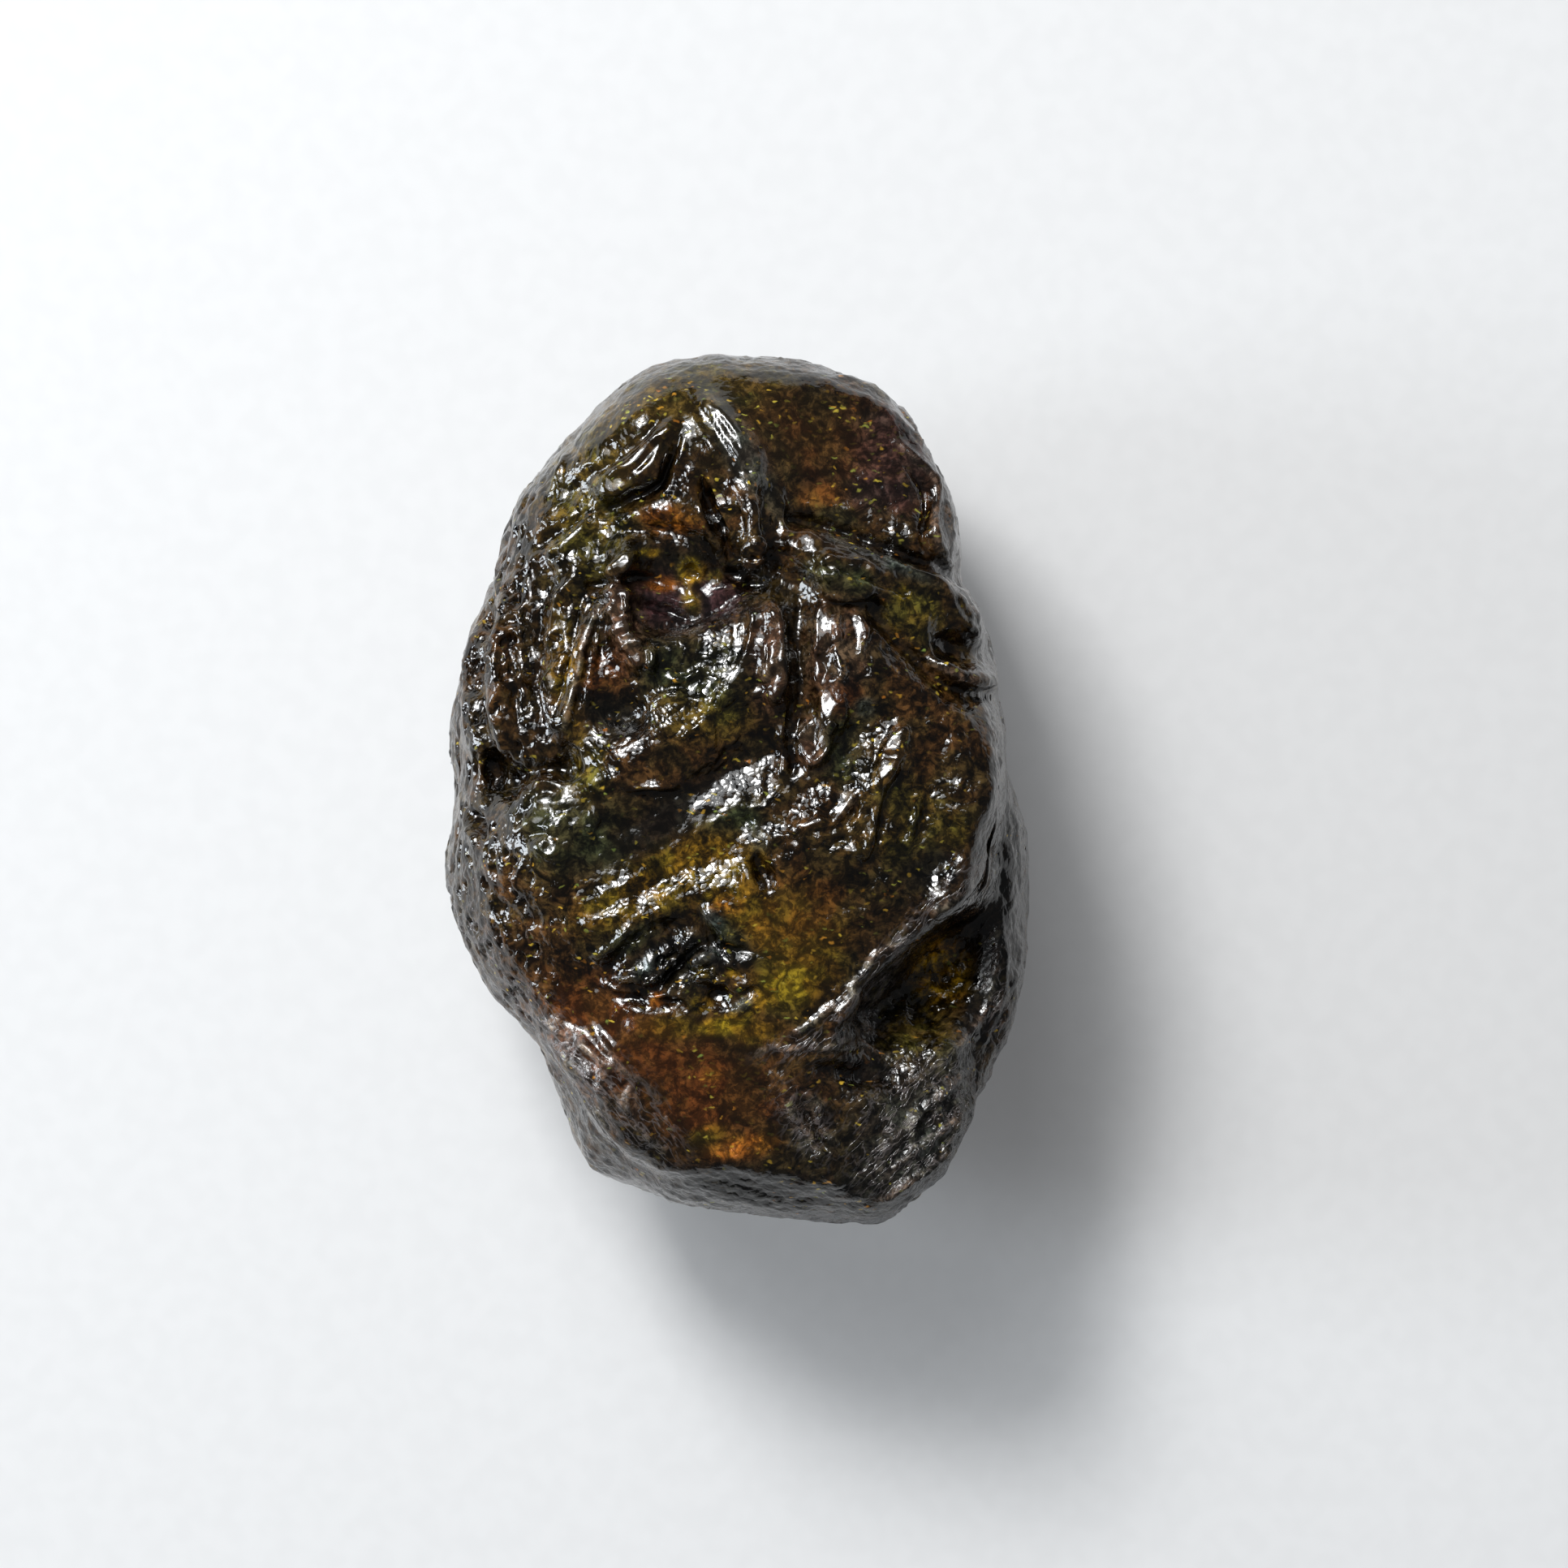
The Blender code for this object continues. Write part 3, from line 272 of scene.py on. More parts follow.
# Bundles along the left flank, the waist and the bump under it
FLANK_FOLDS = {
    "inner_bundle_ridge": Fold(0.36, 0.22, [
        (-7.0, 9.1, 0.4), (-7.6, 8.2, 1.0), (-7.6, 7.3, 0.3), (-8.0, 6.4, 1.0), (-7.8, 5.4, 0.2),
        (-8.2, 4.3, 1.0), (-7.9, 2.6, 0.4),
    ]),
    "inner_bundle_groove": Fold(-0.40, 0.20, [
        (-7.9, 9.6, 0.4), (-8.3, 8.5, 1.0), (-8.2, 7.6, 0.2), (-8.6, 6.6, 1.0), (-8.4, 5.6, 0.2),
        (-8.7, 4.4, 0.9), (-8.2, 2.2, 0.4),
    ]),
    "flake_strand": Fold(0.24, 0.15, [
        (-5.6, 7.4, 0.4), (-5.95, 6.4, 1.0), (-6.2, 5.3, 0.6), (-6.3, 4.2, 1.0), (-6.6, 3.2, 0.5),
    ]),
    "flake_ridge": Fold(0.28, 0.20, [
        (-5.9, 7.9, 0.4), (-6.2, 7.1, 1.0), (-6.6, 6.1, 1.0), (-6.8, 5.0, 1.0), (-7.1, 3.9, 1.0),
        (-7.4, 2.6, 0.6),
    ]),
    "flake_groove": Fold(-0.40, 0.20, [
        (-6.6, 8.2, 0.4), (-7.0, 7.0, 1.0), (-7.3, 5.6, 1.0), (-7.6, 4.2, 0.8), (-7.8, 3.2, 0.3),
    ]),
    "middle_ridge": Fold(0.34, 0.20, [
        (-8.7, 10.2, 0.5), (-8.9, 9.2, 1.0), (-9.0, 8.2, 0.2), (-9.4, 7.0, 1.0), (-9.1, 5.8, 0.2),
        (-9.4, 4.6, 0.8),
    ]),
    "middle_groove": Fold(-0.34, 0.18, [
        (-9.2, 9.6, 0.4), (-9.5, 8.4, 1.0), (-9.4, 7.4, 0.1), (-9.8, 6.2, 1.0), (-9.5, 5.0, 0.2),
        (-9.5, 3.6, 0.8), (-9.3, 2.6, 0.3),
    ]),
    "outer_ridge": Fold(0.34, 0.20, [
        (-9.9, 8.8, 0.4), (-10.2, 7.9, 1.0), (-10.3, 6.9, 0.2), (-10.7, 5.9, 1.0), (-10.4, 5.0, 0.3),
        (-10.2, 4.2, 1.0),
        (-10.5, 3.2, 0.2), (-10.0, 1.6, 0.8),
    ]),
    "outer_groove": Fold(-0.38, 0.20, [
        (-10.5, 8.2, 0.4), (-10.9, 7.0, 1.0), (-10.7, 6.2, 0.1), (-11.2, 5.2, 1.0), (-10.9, 4.4, 0.2),
        (-11.1, 3.3, 0.9),
        (-10.7, 1.8, 0.3),
    ]),
    "rim_ridge": Fold(0.28, 0.20, [
        (-11.2, 7.6, 0.4), (-11.6, 6.0, 1.0), (-11.7, 4.2, 0.9), (-11.6, 2.4, 0.5),
    ]),
    "high_glint": Fold(0.28, 0.18, [(-7.4, 14.3, 0.6), (-7.6, 13.5, 1.0), (-7.9, 12.8, 0.5)]),
    "high_slant": Fold(0.30, 0.20, [(-6.6, 11.2, 0.5), (-7.1, 10.7, 1.0), (-7.8, 10.2, 0.6)]),
    "high_slant_groove": Fold(-0.34, 0.20, [
        (-6.3, 12.0, 0.4), (-7.2, 11.4, 1.0), (-8.2, 10.8, 0.8), (-9.0, 9.8, 0.4),
    ]),
    "waist_notch": Fold(-0.70, 0.45, [(-10.5, 1.2, 0.8), (-10.5, 0.4, 1.0)]),
    "waist_crease": Fold(-0.35, 0.24, [
        (-10.2, 0.2, 0.8), (-9.2, 0.5, 1.0), (-8.0, 0.8, 0.9), (-6.9, 1.0, 0.5),
    ]),
    "waist_window": Fold(-0.55, 0.20, [(-11.3, -1.2, 0.8), (-11.1, -1.7, 1.0), (-11.05, -2.1, 0.5)]),
    "waist_window_rim": Fold(0.26, 0.16, [(-11.7, -1.1, 0.6), (-11.55, -1.8, 1.0), (-11.2, -2.5, 0.6)]),
    "bump_top_lip": Fold(0.32, 0.26, [(-9.0, -0.2, 0.5), (-8.3, 0.0, 1.0), (-7.6, -0.3, 0.6)]),
    "bump_fold_high": Fold(-0.28, 0.18, [(-9.2, -0.9, 0.5), (-8.4, -0.8, 1.0), (-7.6, -1.0, 0.6)]),
    "bump_fold_low": Fold(-0.26, 0.18, [(-9.0, -2.1, 0.5), (-8.3, -2.0, 1.0), (-7.4, -2.2, 0.5)]),
    "bump_bead": Fold(0.22, 0.24, [(-8.6, -2.5, 0.6), (-8.1, -2.8, 1.0), (-7.5, -3.1, 0.5)]),
    "side_beads_high": Fold(0.26, 0.20, [(-6.2, -0.7, 0.7), (-6.0, -1.4, 1.0), (-6.4, -1.9, 0.6)]),
    "side_beads_low": Fold(0.26, 0.22, [(-6.1, -2.0, 0.6), (-5.6, -2.3, 1.0), (-5.2, -2.6, 0.5)]),
    "side_slant_beads": Fold(0.26, 0.18, [(-7.0, -2.6, 0.6), (-6.5, -2.9, 1.0), (-6.0, -3.2, 0.6)]),
}

# Folds of the wrinkled hollow, the ledge, the lower left and the foot
LOWER_FOLDS = {
    "golden_grain_high": Fold(0.08, 0.22, [(-6.3, -5.0, 0.4), (-5.0, -4.3, 1.0), (-3.9, -3.7, 0.8)]),
    "golden_grain_low": Fold(0.08, 0.22, [(-7.0, -6.2, 0.5), (-5.8, -5.7, 1.0), (-4.9, -5.1, 0.6)]),
    "golden_slant": Fold(-0.08, 0.20, [
        (-6.0, -5.3, 0.4), (-4.6, -4.7, 1.0), (-3.2, -4.1, 0.8), (-2.0, -3.4, 0.4),
    ]),
    "golden_fork": Fold(0.12, 0.20, [(-3.1, -4.8, 0.5), (-2.5, -4.3, 1.0), (-2.0, -3.7, 0.5)]),
    "golden_pit": Fold(-0.45, 0.34, [(0.9, -3.1, 0.7), (1.2, -3.7, 1.0), (1.4, -4.1, 0.6)]),
    "golden_bead_low": Fold(0.30, 0.20, [(0.4, -3.3, 0.6), (0.5, -3.8, 1.0), (0.9, -4.5, 0.6)]),
    "golden_dark_dent": Fold(-0.30, 0.28, [(0.2, -1.5, 0.7), (0.5, -1.4, 1.0)]),
    "tongue_crest": Fold(0.34, 0.15, [
        (-4.9, -8.3, 0.6), (-4.4, -8.15, 1.0), (-3.95, -8.4, 1.0), (-3.6, -8.3, 1.0), (-3.35, -8.0, 1.0),
        (-3.0, -7.6, 1.0), (-2.6, -7.4, 1.0), (-2.4, -7.1, 1.0), (-2.15, -6.7, 1.0), (-1.8, -6.6, 0.7),
    ]),
    "tongue_under_groove": Fold(-0.36, 0.26, [
        (-3.3, -8.6, 0.6), (-2.9, -8.1, 1.0), (-2.4, -7.7, 1.0), (-2.0, -7.2, 1.0), (-1.6, -6.9, 0.5),
    ]),
    "tongue_bar": Fold(0.26, 0.18, [(-3.3, -7.2, 0.7), (-3.0, -7.0, 1.0), (-2.7, -6.85, 0.8)]),
    "tongue_groove": Fold(-0.22, 0.15, [(-3.4, -7.6, 0.5), (-3.0, -7.35, 1.0), (-2.5, -6.9, 0.8)]),
    "dark_slot": Fold(-0.40, 0.22, [
        (-1.65, -5.1, 0.5), (-1.4, -5.9, 1.0), (-1.1, -6.5, 1.0), (-0.8, -7.0, 0.6),
    ]),
    "dark_slot_side": Fold(-0.30, 0.28, [(-0.8, -7.0, 0.6), (0.1, -7.0, 1.0), (1.0, -7.1, 0.5)]),
    "teal_wedge": Fold(0.24, 0.26, [
        (-1.3, -5.4, 0.8), (-0.8, -5.7, 1.0), (-0.3, -6.2, 0.9), (0.2, -6.6, 0.5),
    ]),
    "knob_top": Fold(0.26, 0.26, [(-1.9, -7.5, 0.8), (-1.4, -7.3, 1.0), (-1.0, -7.15, 0.8)]),
    "knob_side": Fold(0.20, 0.13, [(-0.95, -7.2, 1.0), (-0.9, -7.6, 0.8), (-1.0, -8.0, 0.5)]),
    "knob_chain": Fold(0.26, 0.16, [(-1.45, -8.1, 0.8), (-1.75, -8.4, 1.0), (-2.3, -8.7, 0.8)]),
    "bead_row": Fold(0.28, 0.15, [(-3.1, -8.95, 0.8), (-2.8, -8.9, 1.0), (-2.4, -8.95, 0.8)]),
    "small_crest": Fold(0.24, 0.12, [(-1.0, -8.2, 1.0), (-0.7, -8.35, 1.0)]),
    "teal_crest": Fold(0.22, 0.14, [(-0.3, -8.3, 0.8), (-0.2, -8.6, 0.8)]),
    "teal_step": Fold(0.24, 0.16, [(0.0, -9.6, 0.7), (0.4, -9.4, 1.0), (0.7, -9.1, 0.6)]),
    "left_row": Fold(0.24, 0.13, [
        (-5.7, -8.4, 0.8), (-5.4, -8.65, 1.0), (-4.9, -8.75, 1.0), (-4.5, -8.8, 0.7),
    ]),
    "left_step": Fold(0.26, 0.20, [
        (-5.9, -7.2, 0.7), (-5.3, -6.9, 1.0), (-4.9, -6.4, 1.0), (-4.5, -6.0, 0.6),
    ]),
    "left_slot": Fold(-0.30, 0.24, [
        (-5.4, -7.8, 0.6), (-4.9, -7.2, 1.0), (-4.3, -6.6, 1.0), (-3.5, -6.1, 0.7),
    ]),
    "black_pit": Fold(-0.30, 0.34, [(-3.5, -6.1, 0.7), (-2.8, -6.0, 1.0), (-2.2, -5.9, 0.5)]),
    "hollow_foot": Fold(-0.35, 0.28, [
        (-5.2, -8.9, 0.3), (-4.3, -9.1, 1.0), (-3.5, -9.5, 0.2), (-2.6, -9.2, 1.0), (-1.9, -9.6, 0.3),
        (-1.0, -9.1, 1.0),
        (-0.2, -9.4, 0.2), (0.6, -8.8, 0.8), (1.2, -8.9, 0.2),
    ]),
    "low_pit": Fold(-0.28, 0.28, [(-1.1, -8.8, 0.8), (-0.5, -8.9, 1.0)]),
    "ledge_edge_second": Fold(0.12, 0.13, [
        (7.4, -6.6, 0.4), (6.2, -7.1, 1.0), (5.5, -8.0, 1.0), (5.1, -8.4, 0.9), (5.0, -9.1, 0.9),
        (4.5, -9.7, 0.5),
    ]),
    "ledge_edge_third": Fold(0.14, 0.13, [
        (6.9, -7.9, 0.4), (6.4, -8.6, 1.0), (6.1, -9.1, 1.0), (5.8, -9.6, 1.0), (5.6, -10.1, 1.0),
        (5.8, -10.4, 0.9),
        (5.5, -11.0, 1.0), (5.9, -11.4, 0.9), (6.7, -11.6, 0.4),
    ]),
    "ledge_fibre_low": Fold(0.11, 0.13, [
        (5.6, -10.2, 0.5), (4.8, -10.9, 1.0), (3.9, -11.2, 1.0), (2.9, -11.2, 0.5),
    ]),
    "ledge_fibre_middle": Fold(0.11, 0.13, [
        (4.7, -9.1, 0.4), (3.9, -9.6, 1.0), (3.1, -10.3, 1.0), (2.4, -10.7, 0.5),
    ]),
    "ledge_fibre_left": Fold(0.11, 0.12, [
        (3.3, -10.9, 0.5), (2.4, -11.3, 1.0), (1.6, -11.2, 1.0), (0.9, -11.5, 0.4),
    ]),
    "ledge_fibre_cross": Fold(0.11, 0.12, [(4.9, -8.7, 0.6), (5.6, -9.2, 1.0), (6.2, -9.1, 0.6)]),
    "ledge_fibre_hook": Fold(0.11, 0.12, [(4.2, -10.7, 0.6), (4.5, -11.3, 1.0), (5.3, -11.2, 0.6)]),
    "sleeve_net_one": Fold(0.13, 0.15, [
        (-9.3, -9.6, 0.4), (-8.4, -10.1, 1.0), (-7.2, -10.9, 1.0), (-6.4, -11.4, 1.0), (-5.6, -11.9, 1.0),
        (-4.8, -12.3, 1.0), (-3.9, -12.8, 0.8), (-3.3, -13.6, 0.4),
    ]),
    "sleeve_net_two": Fold(0.13, 0.14, [
        (-6.2, -10.3, 0.3), (-5.9, -10.8, 1.0), (-5.4, -11.5, 1.0), (-4.8, -12.2, 1.0), (-4.4, -13.0, 0.8),
        (-4.2, -14.0, 0.4),
    ]),
    "sleeve_net_six": Fold(0.13, 0.14, [
        (-8.6, -10.6, 0.5), (-7.9, -11.1, 1.0), (-7.0, -12.1, 1.0), (-6.1, -12.8, 1.0), (-5.4, -13.8, 0.5),
    ]),
    "ledge_dark_slot": Fold(-0.25, 0.20, [(5.6, -9.6, 0.4), (5.1, -10.1, 1.0), (4.5, -10.5, 0.6)]),
    "ledge_high_edge": Fold(0.14, 0.16, [
        (10.8, -2.6, 0.4), (10.6, -3.5, 1.0), (10.2, -4.3, 1.0), (9.4, -4.9, 1.0), (8.6, -5.4, 0.6),
    ]),
    "right_bulge_dent": Fold(-0.20, 0.50, [
        (7.4, -4.2, 0.6), (8.2, -3.8, 1.0), (9.0, -3.0, 0.8), (9.8, -2.6, 0.4),
    ]),
    "far_rim_streak": Fold(0.14, 0.16, [
        (11.4, -6.0, 0.5), (11.3, -7.8, 1.0), (10.9, -9.6, 1.0), (10.0, -10.9, 0.9), (8.8, -12.0, 0.5),
    ]),
    "far_rim_second": Fold(0.12, 0.15, [
        (11.8, -7.2, 0.5), (11.6, -9.0, 1.0), (11.0, -10.6, 0.8), (10.2, -11.9, 0.5),
    ]),
    "net_one": Fold(0.32, 0.18, [
        (9.9, -12.4, 0.4), (9.0, -13.1, 1.0), (8.0, -14.1, 1.0), (7.0, -15.1, 0.5),
    ]),
    "net_two": Fold(0.30, 0.18, [
        (10.2, -13.8, 0.4), (9.0, -14.8, 1.0), (7.8, -15.7, 1.0), (6.7, -16.6, 0.5),
    ]),
    "net_three": Fold(0.28, 0.18, [
        (9.5, -15.4, 0.4), (8.2, -16.6, 1.0), (7.2, -17.3, 1.0), (6.3, -17.9, 0.5),
    ]),
    "net_cross_one": Fold(0.24, 0.15, [(8.8, -12.8, 0.5), (8.7, -13.9, 1.0), (8.9, -15.0, 0.6)]),
    "net_cross_two": Fold(0.24, 0.15, [(7.8, -13.8, 0.5), (7.6, -15.0, 1.0), (7.9, -16.2, 0.6)]),
    "net_cross_three": Fold(0.22, 0.15, [(9.5, -13.6, 0.5), (9.5, -14.6, 1.0), (8.9, -15.9, 0.6)]),
    "small_oval_hollow": Fold(-0.50, 0.40, [(3.8, -12.3, 0.6), (5.2, -12.4, 1.0), (6.6, -12.5, 0.6)]),
    "chain_one": Fold(0.26, 0.16, [
        (2.3, -13.6, 0.5), (2.6, -14.3, 1.0), (3.1, -14.9, 1.0), (3.6, -15.8, 0.6),
    ]),
    "chain_two": Fold(0.24, 0.15, [
        (3.1, -13.2, 0.5), (3.6, -13.7, 1.0), (3.7, -14.6, 0.8), (4.3, -15.4, 0.5),
    ]),
    "chain_groove": Fold(-0.30, 0.18, [(2.9, -13.7, 0.6), (3.3, -14.5, 1.0), (3.9, -15.6, 0.6)]),
    "brown_squiggle_one": Fold(0.08, 0.15, [
        (0.4, -12.2, 0.5), (1.0, -12.6, 1.0), (1.7, -12.4, 0.8), (2.4, -12.9, 0.4),
    ]),
    "brown_squiggle_two": Fold(0.08, 0.15, [(1.2, -13.2, 0.5), (1.5, -13.9, 1.0), (1.3, -14.6, 0.6)]),
    "sleeve_net_three": Fold(0.13, 0.16, [
        (-5.4, -13.0, 0.6), (-4.8, -13.8, 1.0), (-4.1, -14.8, 1.0), (-3.1, -15.7, 0.6),
    ]),
    "sleeve_net_four": Fold(0.13, 0.15, [
        (-7.9, -10.0, 0.4), (-7.0, -10.6, 1.0), (-6.3, -11.4, 1.0), (-5.6, -12.2, 0.6),
    ]),
    "sleeve_net_five": Fold(0.13, 0.15, [
        (-7.6, -11.8, 0.5), (-6.8, -12.8, 1.0), (-6.2, -13.8, 1.0), (-5.4, -15.0, 0.6),
    ]),
    "sleeve_cross_one": Fold(0.13, 0.14, [(-7.2, -10.9, 0.6), (-7.4, -11.6, 1.0), (-7.0, -12.3, 0.5)]),
    "sleeve_cross_two": Fold(0.13, 0.14, [(-5.3, -11.9, 0.6), (-5.7, -12.6, 1.0), (-5.9, -13.5, 0.5)]),
    "sleeve_cross_three": Fold(0.13, 0.14, [(-4.3, -12.6, 0.6), (-4.7, -13.3, 1.0), (-4.6, -14.1, 0.5)]),
    "sleeve_window_one": Fold(-0.30, 0.26, [(-7.4, -10.9, 0.6), (-7.1, -11.1, 1.0)]),
    "sleeve_window_two": Fold(-0.30, 0.24, [(-6.6, -11.6, 0.8), (-6.3, -11.9, 1.0)]),
}

ALL_FOLDS = {**CROWN_FOLDS, **BASIN_FOLDS, **MIDDLE_FOLDS, **FLANK_FOLDS, **LOWER_FOLDS}

# Small closed ridges
RINGS = {
    "hollow_ring_bead": Ring(0.22, 0.11, (-1.55, -9.3), (0.33, 0.17), 0),
    "drip_ring": Ring(0.22, 0.12, (1.48, 11.5), (0.20, 0.34), 0),
    "basin_gold_ring": Ring(0.22, 0.13, (-1.9, 9.35), (0.45, 0.5), 0),
    "shoulder_ring": Ring(0.26, 0.14, (4.1, 9.45), (0.3, 0.35), 0),
    "mound_ring": Ring(0.30, 0.15, (4.2, 3.4), (0.38, 0.75), 0),
    "mound_high_ring": Ring(0.22, 0.13, (4.15, 5.4), (0.22, 0.36), 0),
    "flank_ring": Ring(0.24, 0.14, (-7.7, 10.0), (0.3, 0.35), 0),
    "hollow_round_ring": Ring(0.10, 0.16, (8.9, -8.0), (0.85, 0.95), 10),
    "hollow_inner_ring": Ring(0.08, 0.13, (8.9, -7.9), (0.40, 0.50), 20),
}

# Grounds that are evened out under the fine folds. The amount is how far, and the lean is the rise towards
# +x and towards +y. It is chosen to face the key light where the photo is bright, and away from it where
# the photo is dark.
TILTS = {
    "crown_right": Tilt((5.6, 12.4), (3.2, 2.1), -20, 0.8, (-0.14, 0.02)),
    "crown_far": Tilt((5.4, 15.6), (3.0, 1.8), -20, 0.5, (-0.14, 0.02)),
    "centre_glitter": Tilt((-1.3, 4.5), (2.3, 1.1), 8, 0.7, (0.17, -0.27)),
    "right_glitter": Tilt((5.4, 0.8), (1.5, 1.9), 0, 0.4, (0.16, -0.26)),
    "wrinkles": Tilt((4.4, -1.7), (1.8, 1.0), 0, 0.4, (0.16, -0.26)),
    "left_bulge": Tilt((-3.4, 1.4), (2.4, 1.2), 10, 0.6, (0.02, 0.04)),
    "slanting_valley": Tilt((-2.9, -2.7), (4.6, 2.1), 30, 0.75, (0.0, 0.02)),
    "plateau": Tilt((-0.4, -2.2), (1.6, 1.5), 20, 0.65, (0.02, -0.03)),
    "valley_wall_left": Tilt((-5.2, -4.6), (1.5, 0.9), 25, 0.75, (0.0, -0.02)),
    "valley_wall": Tilt((-2.0, -2.9), (2.1, 0.9), 30, 0.75, (-0.02, 0.0)),
    "valley_wall_right": Tilt((1.5, -1.0), (1.7, 0.8), 25, 0.8, (-0.02, -0.02)),
    "valley_end": Tilt((0.0, 0.0), (2.0, 1.2), 27, 0.8, (0.0, 0.0)),
    "crown_right_edge": Tilt((8.2, 13.0), (0.8, 1.3), 0, 0.7, (-0.45, 0.0)),
    "golden_slope": Tilt((2.6, -6.6), (2.8, 3.0), -10, 0.6, (-0.10, 0.10)),
    "ledge_shoulder": Tilt((5.7, -7.2), (3.6, 1.2), 50, 0.8, (-0.10, 0.14)),
    "under_hollow": Tilt((-2.2, -9.9), (3.6, 0.8), 2, 0.7, (0.0, 0.10)),
    "sleeve_top": Tilt((-6.3, -9.5), (1.9, 1.1), -30, 0.7, (0.05, 0.20)),
    "sole": Tilt((-1.4, -11.6), (4.6, 1.4), 2, 0.6, (0.0, 0.16)),
    "neck": Tilt((0.2, -15.0), (4.4, 1.4), -2, 0.6, (0.0, 0.18)),
    "far_rim": Tilt((11.2, -9.2), (1.1, 2.6), -12, 0.6, (-0.20, 0.05)),
    "back_lobe": Tilt((11.4, -4.4), (1.1, 3.2), -6, 0.7, (-0.15, 0.05)),
    "lower_right": Tilt((7.4, -14.2), (3.0, 2.2), 45, 0.5, (-0.35, 0.35)),
    "crest_flank": Tilt((0.4, 14.2), (2.6, 0.7), -63, 0.45, (0.19, -0.31)),
}

# Folds whose crests carry a painted pale sheen
SHEEN_CREST_FOLDS = (
    "ledge_edge_second", "ledge_edge_third", "ledge_fibre_low", "ledge_fibre_middle",
    "ledge_fibre_left", "ledge_fibre_cross", "ledge_fibre_hook", "ledge_high_edge", "sleeve_net_one",
    "sleeve_net_two", "sleeve_net_three", "sleeve_net_four", "sleeve_net_five", "sleeve_net_six",
    "sleeve_cross_one", "sleeve_cross_two", "sleeve_cross_three", "net_one", "net_two", "net_three",
    "net_cross_one", "net_cross_two", "net_cross_three", "chain_one", "chain_two", "edge_long_ridge",
    "edge_thin_ridge", "edge_outer_ridge", "right_pit_ledge", "flake_ridge", "far_rim_streak",
)

# Broad, low changes of the skin's form, in millimetres of height
SWELLS = {
    "crown_right_lobe_foot": Zone((3.4, 12.3), (2.2, 0.9), -15, -0.12),
    "hollow_foot": Zone((-2.2, -8.7), (3.2, 0.7), 2, 0.25),
    "right_bulge_edge": Zone((10.3, 0.4), (1.3, 4.4), 0, 0.5),
    "waist_notch": Zone((-10.5, 0.8), (0.9, 0.35), -30, -0.4),
    "drip_foot": Zone((0.8, 10.0), (0.45, 0.5), 0, 0.7),
    "left_ridge": Zone((1.55, 5.6), (0.7, 2.0), 0, 0.35),
    "basin_rim": Zone((-4.95, 7.5), (0.75, 2.2), 8, 0.5),
    "basin_bead": Zone((-4.0, 5.7), (0.7, 0.6), -35, 0.35),
    "fork": Zone((3.4, 1.9), (0.7, 1.0), 0, 0.3),
    "basin": Zone((-2.5, 8.7), (2.4, 1.7), 4, -0.55),
    "valley": Zone((-1.9, -1.5), (4.8, 1.1), 27, 0.35),
    "golden_crest": Zone((-0.6, -4.0), (3.4, 0.9), 22, -0.2),
    "crown_left_edge": Zone((-5.2, 15.6), (3.4, 1.0), 42, 0.8),
    "left_lower_edge": Zone((-9.7, -7.6), (3.6, 0.9), -58, 0.7),
    "left_foot_edge": Zone((-7.5, -13.2), (3.0, 0.9), -66, 0.6),
    "shoulder_roll": Zone((6.4, 11.35), (2.6, 0.6), -18, 0.15),
    "hollow_facet": Zone((-3.76, -7.65), (0.60, 0.30), 45, 0.30),
    "hollow_facet_left": Zone((-4.55, -6.90), (0.50, 0.26), 40, 0.25),
    "hollow_facet_high": Zone((-3.60, -6.30), (0.45, 0.22), 30, 0.25),
    "hollow_knob": Zone((-1.48, -7.40), (0.55, 0.30), 20, 0.35),
    "hollow_knob_low": Zone((-1.30, -8.05), (0.30, 0.26), 0, 0.25),
    "hollow_bead_one": Zone((-2.75, -8.60), (0.34, 0.22), 20, 0.28),
    "hollow_bead_two": Zone((-3.40, -9.00), (0.28, 0.22), 0, 0.26),
    "hollow_bead_three": Zone((-2.10, -9.05), (0.28, 0.20), 0, 0.26),
    "hollow_bead_four": Zone((-0.60, -8.30), (0.26, 0.20), 30, 0.24),
    "hollow_bead_five": Zone((-4.50, -8.20), (0.36, 0.20), 10, 0.26),
    "hollow_bead_six": Zone((-0.10, -7.70), (0.40, 0.20), -30, 0.22),
    "hollow_bead_seven": Zone((0.45, -8.60), (0.36, 0.22), 20, 0.22),
}

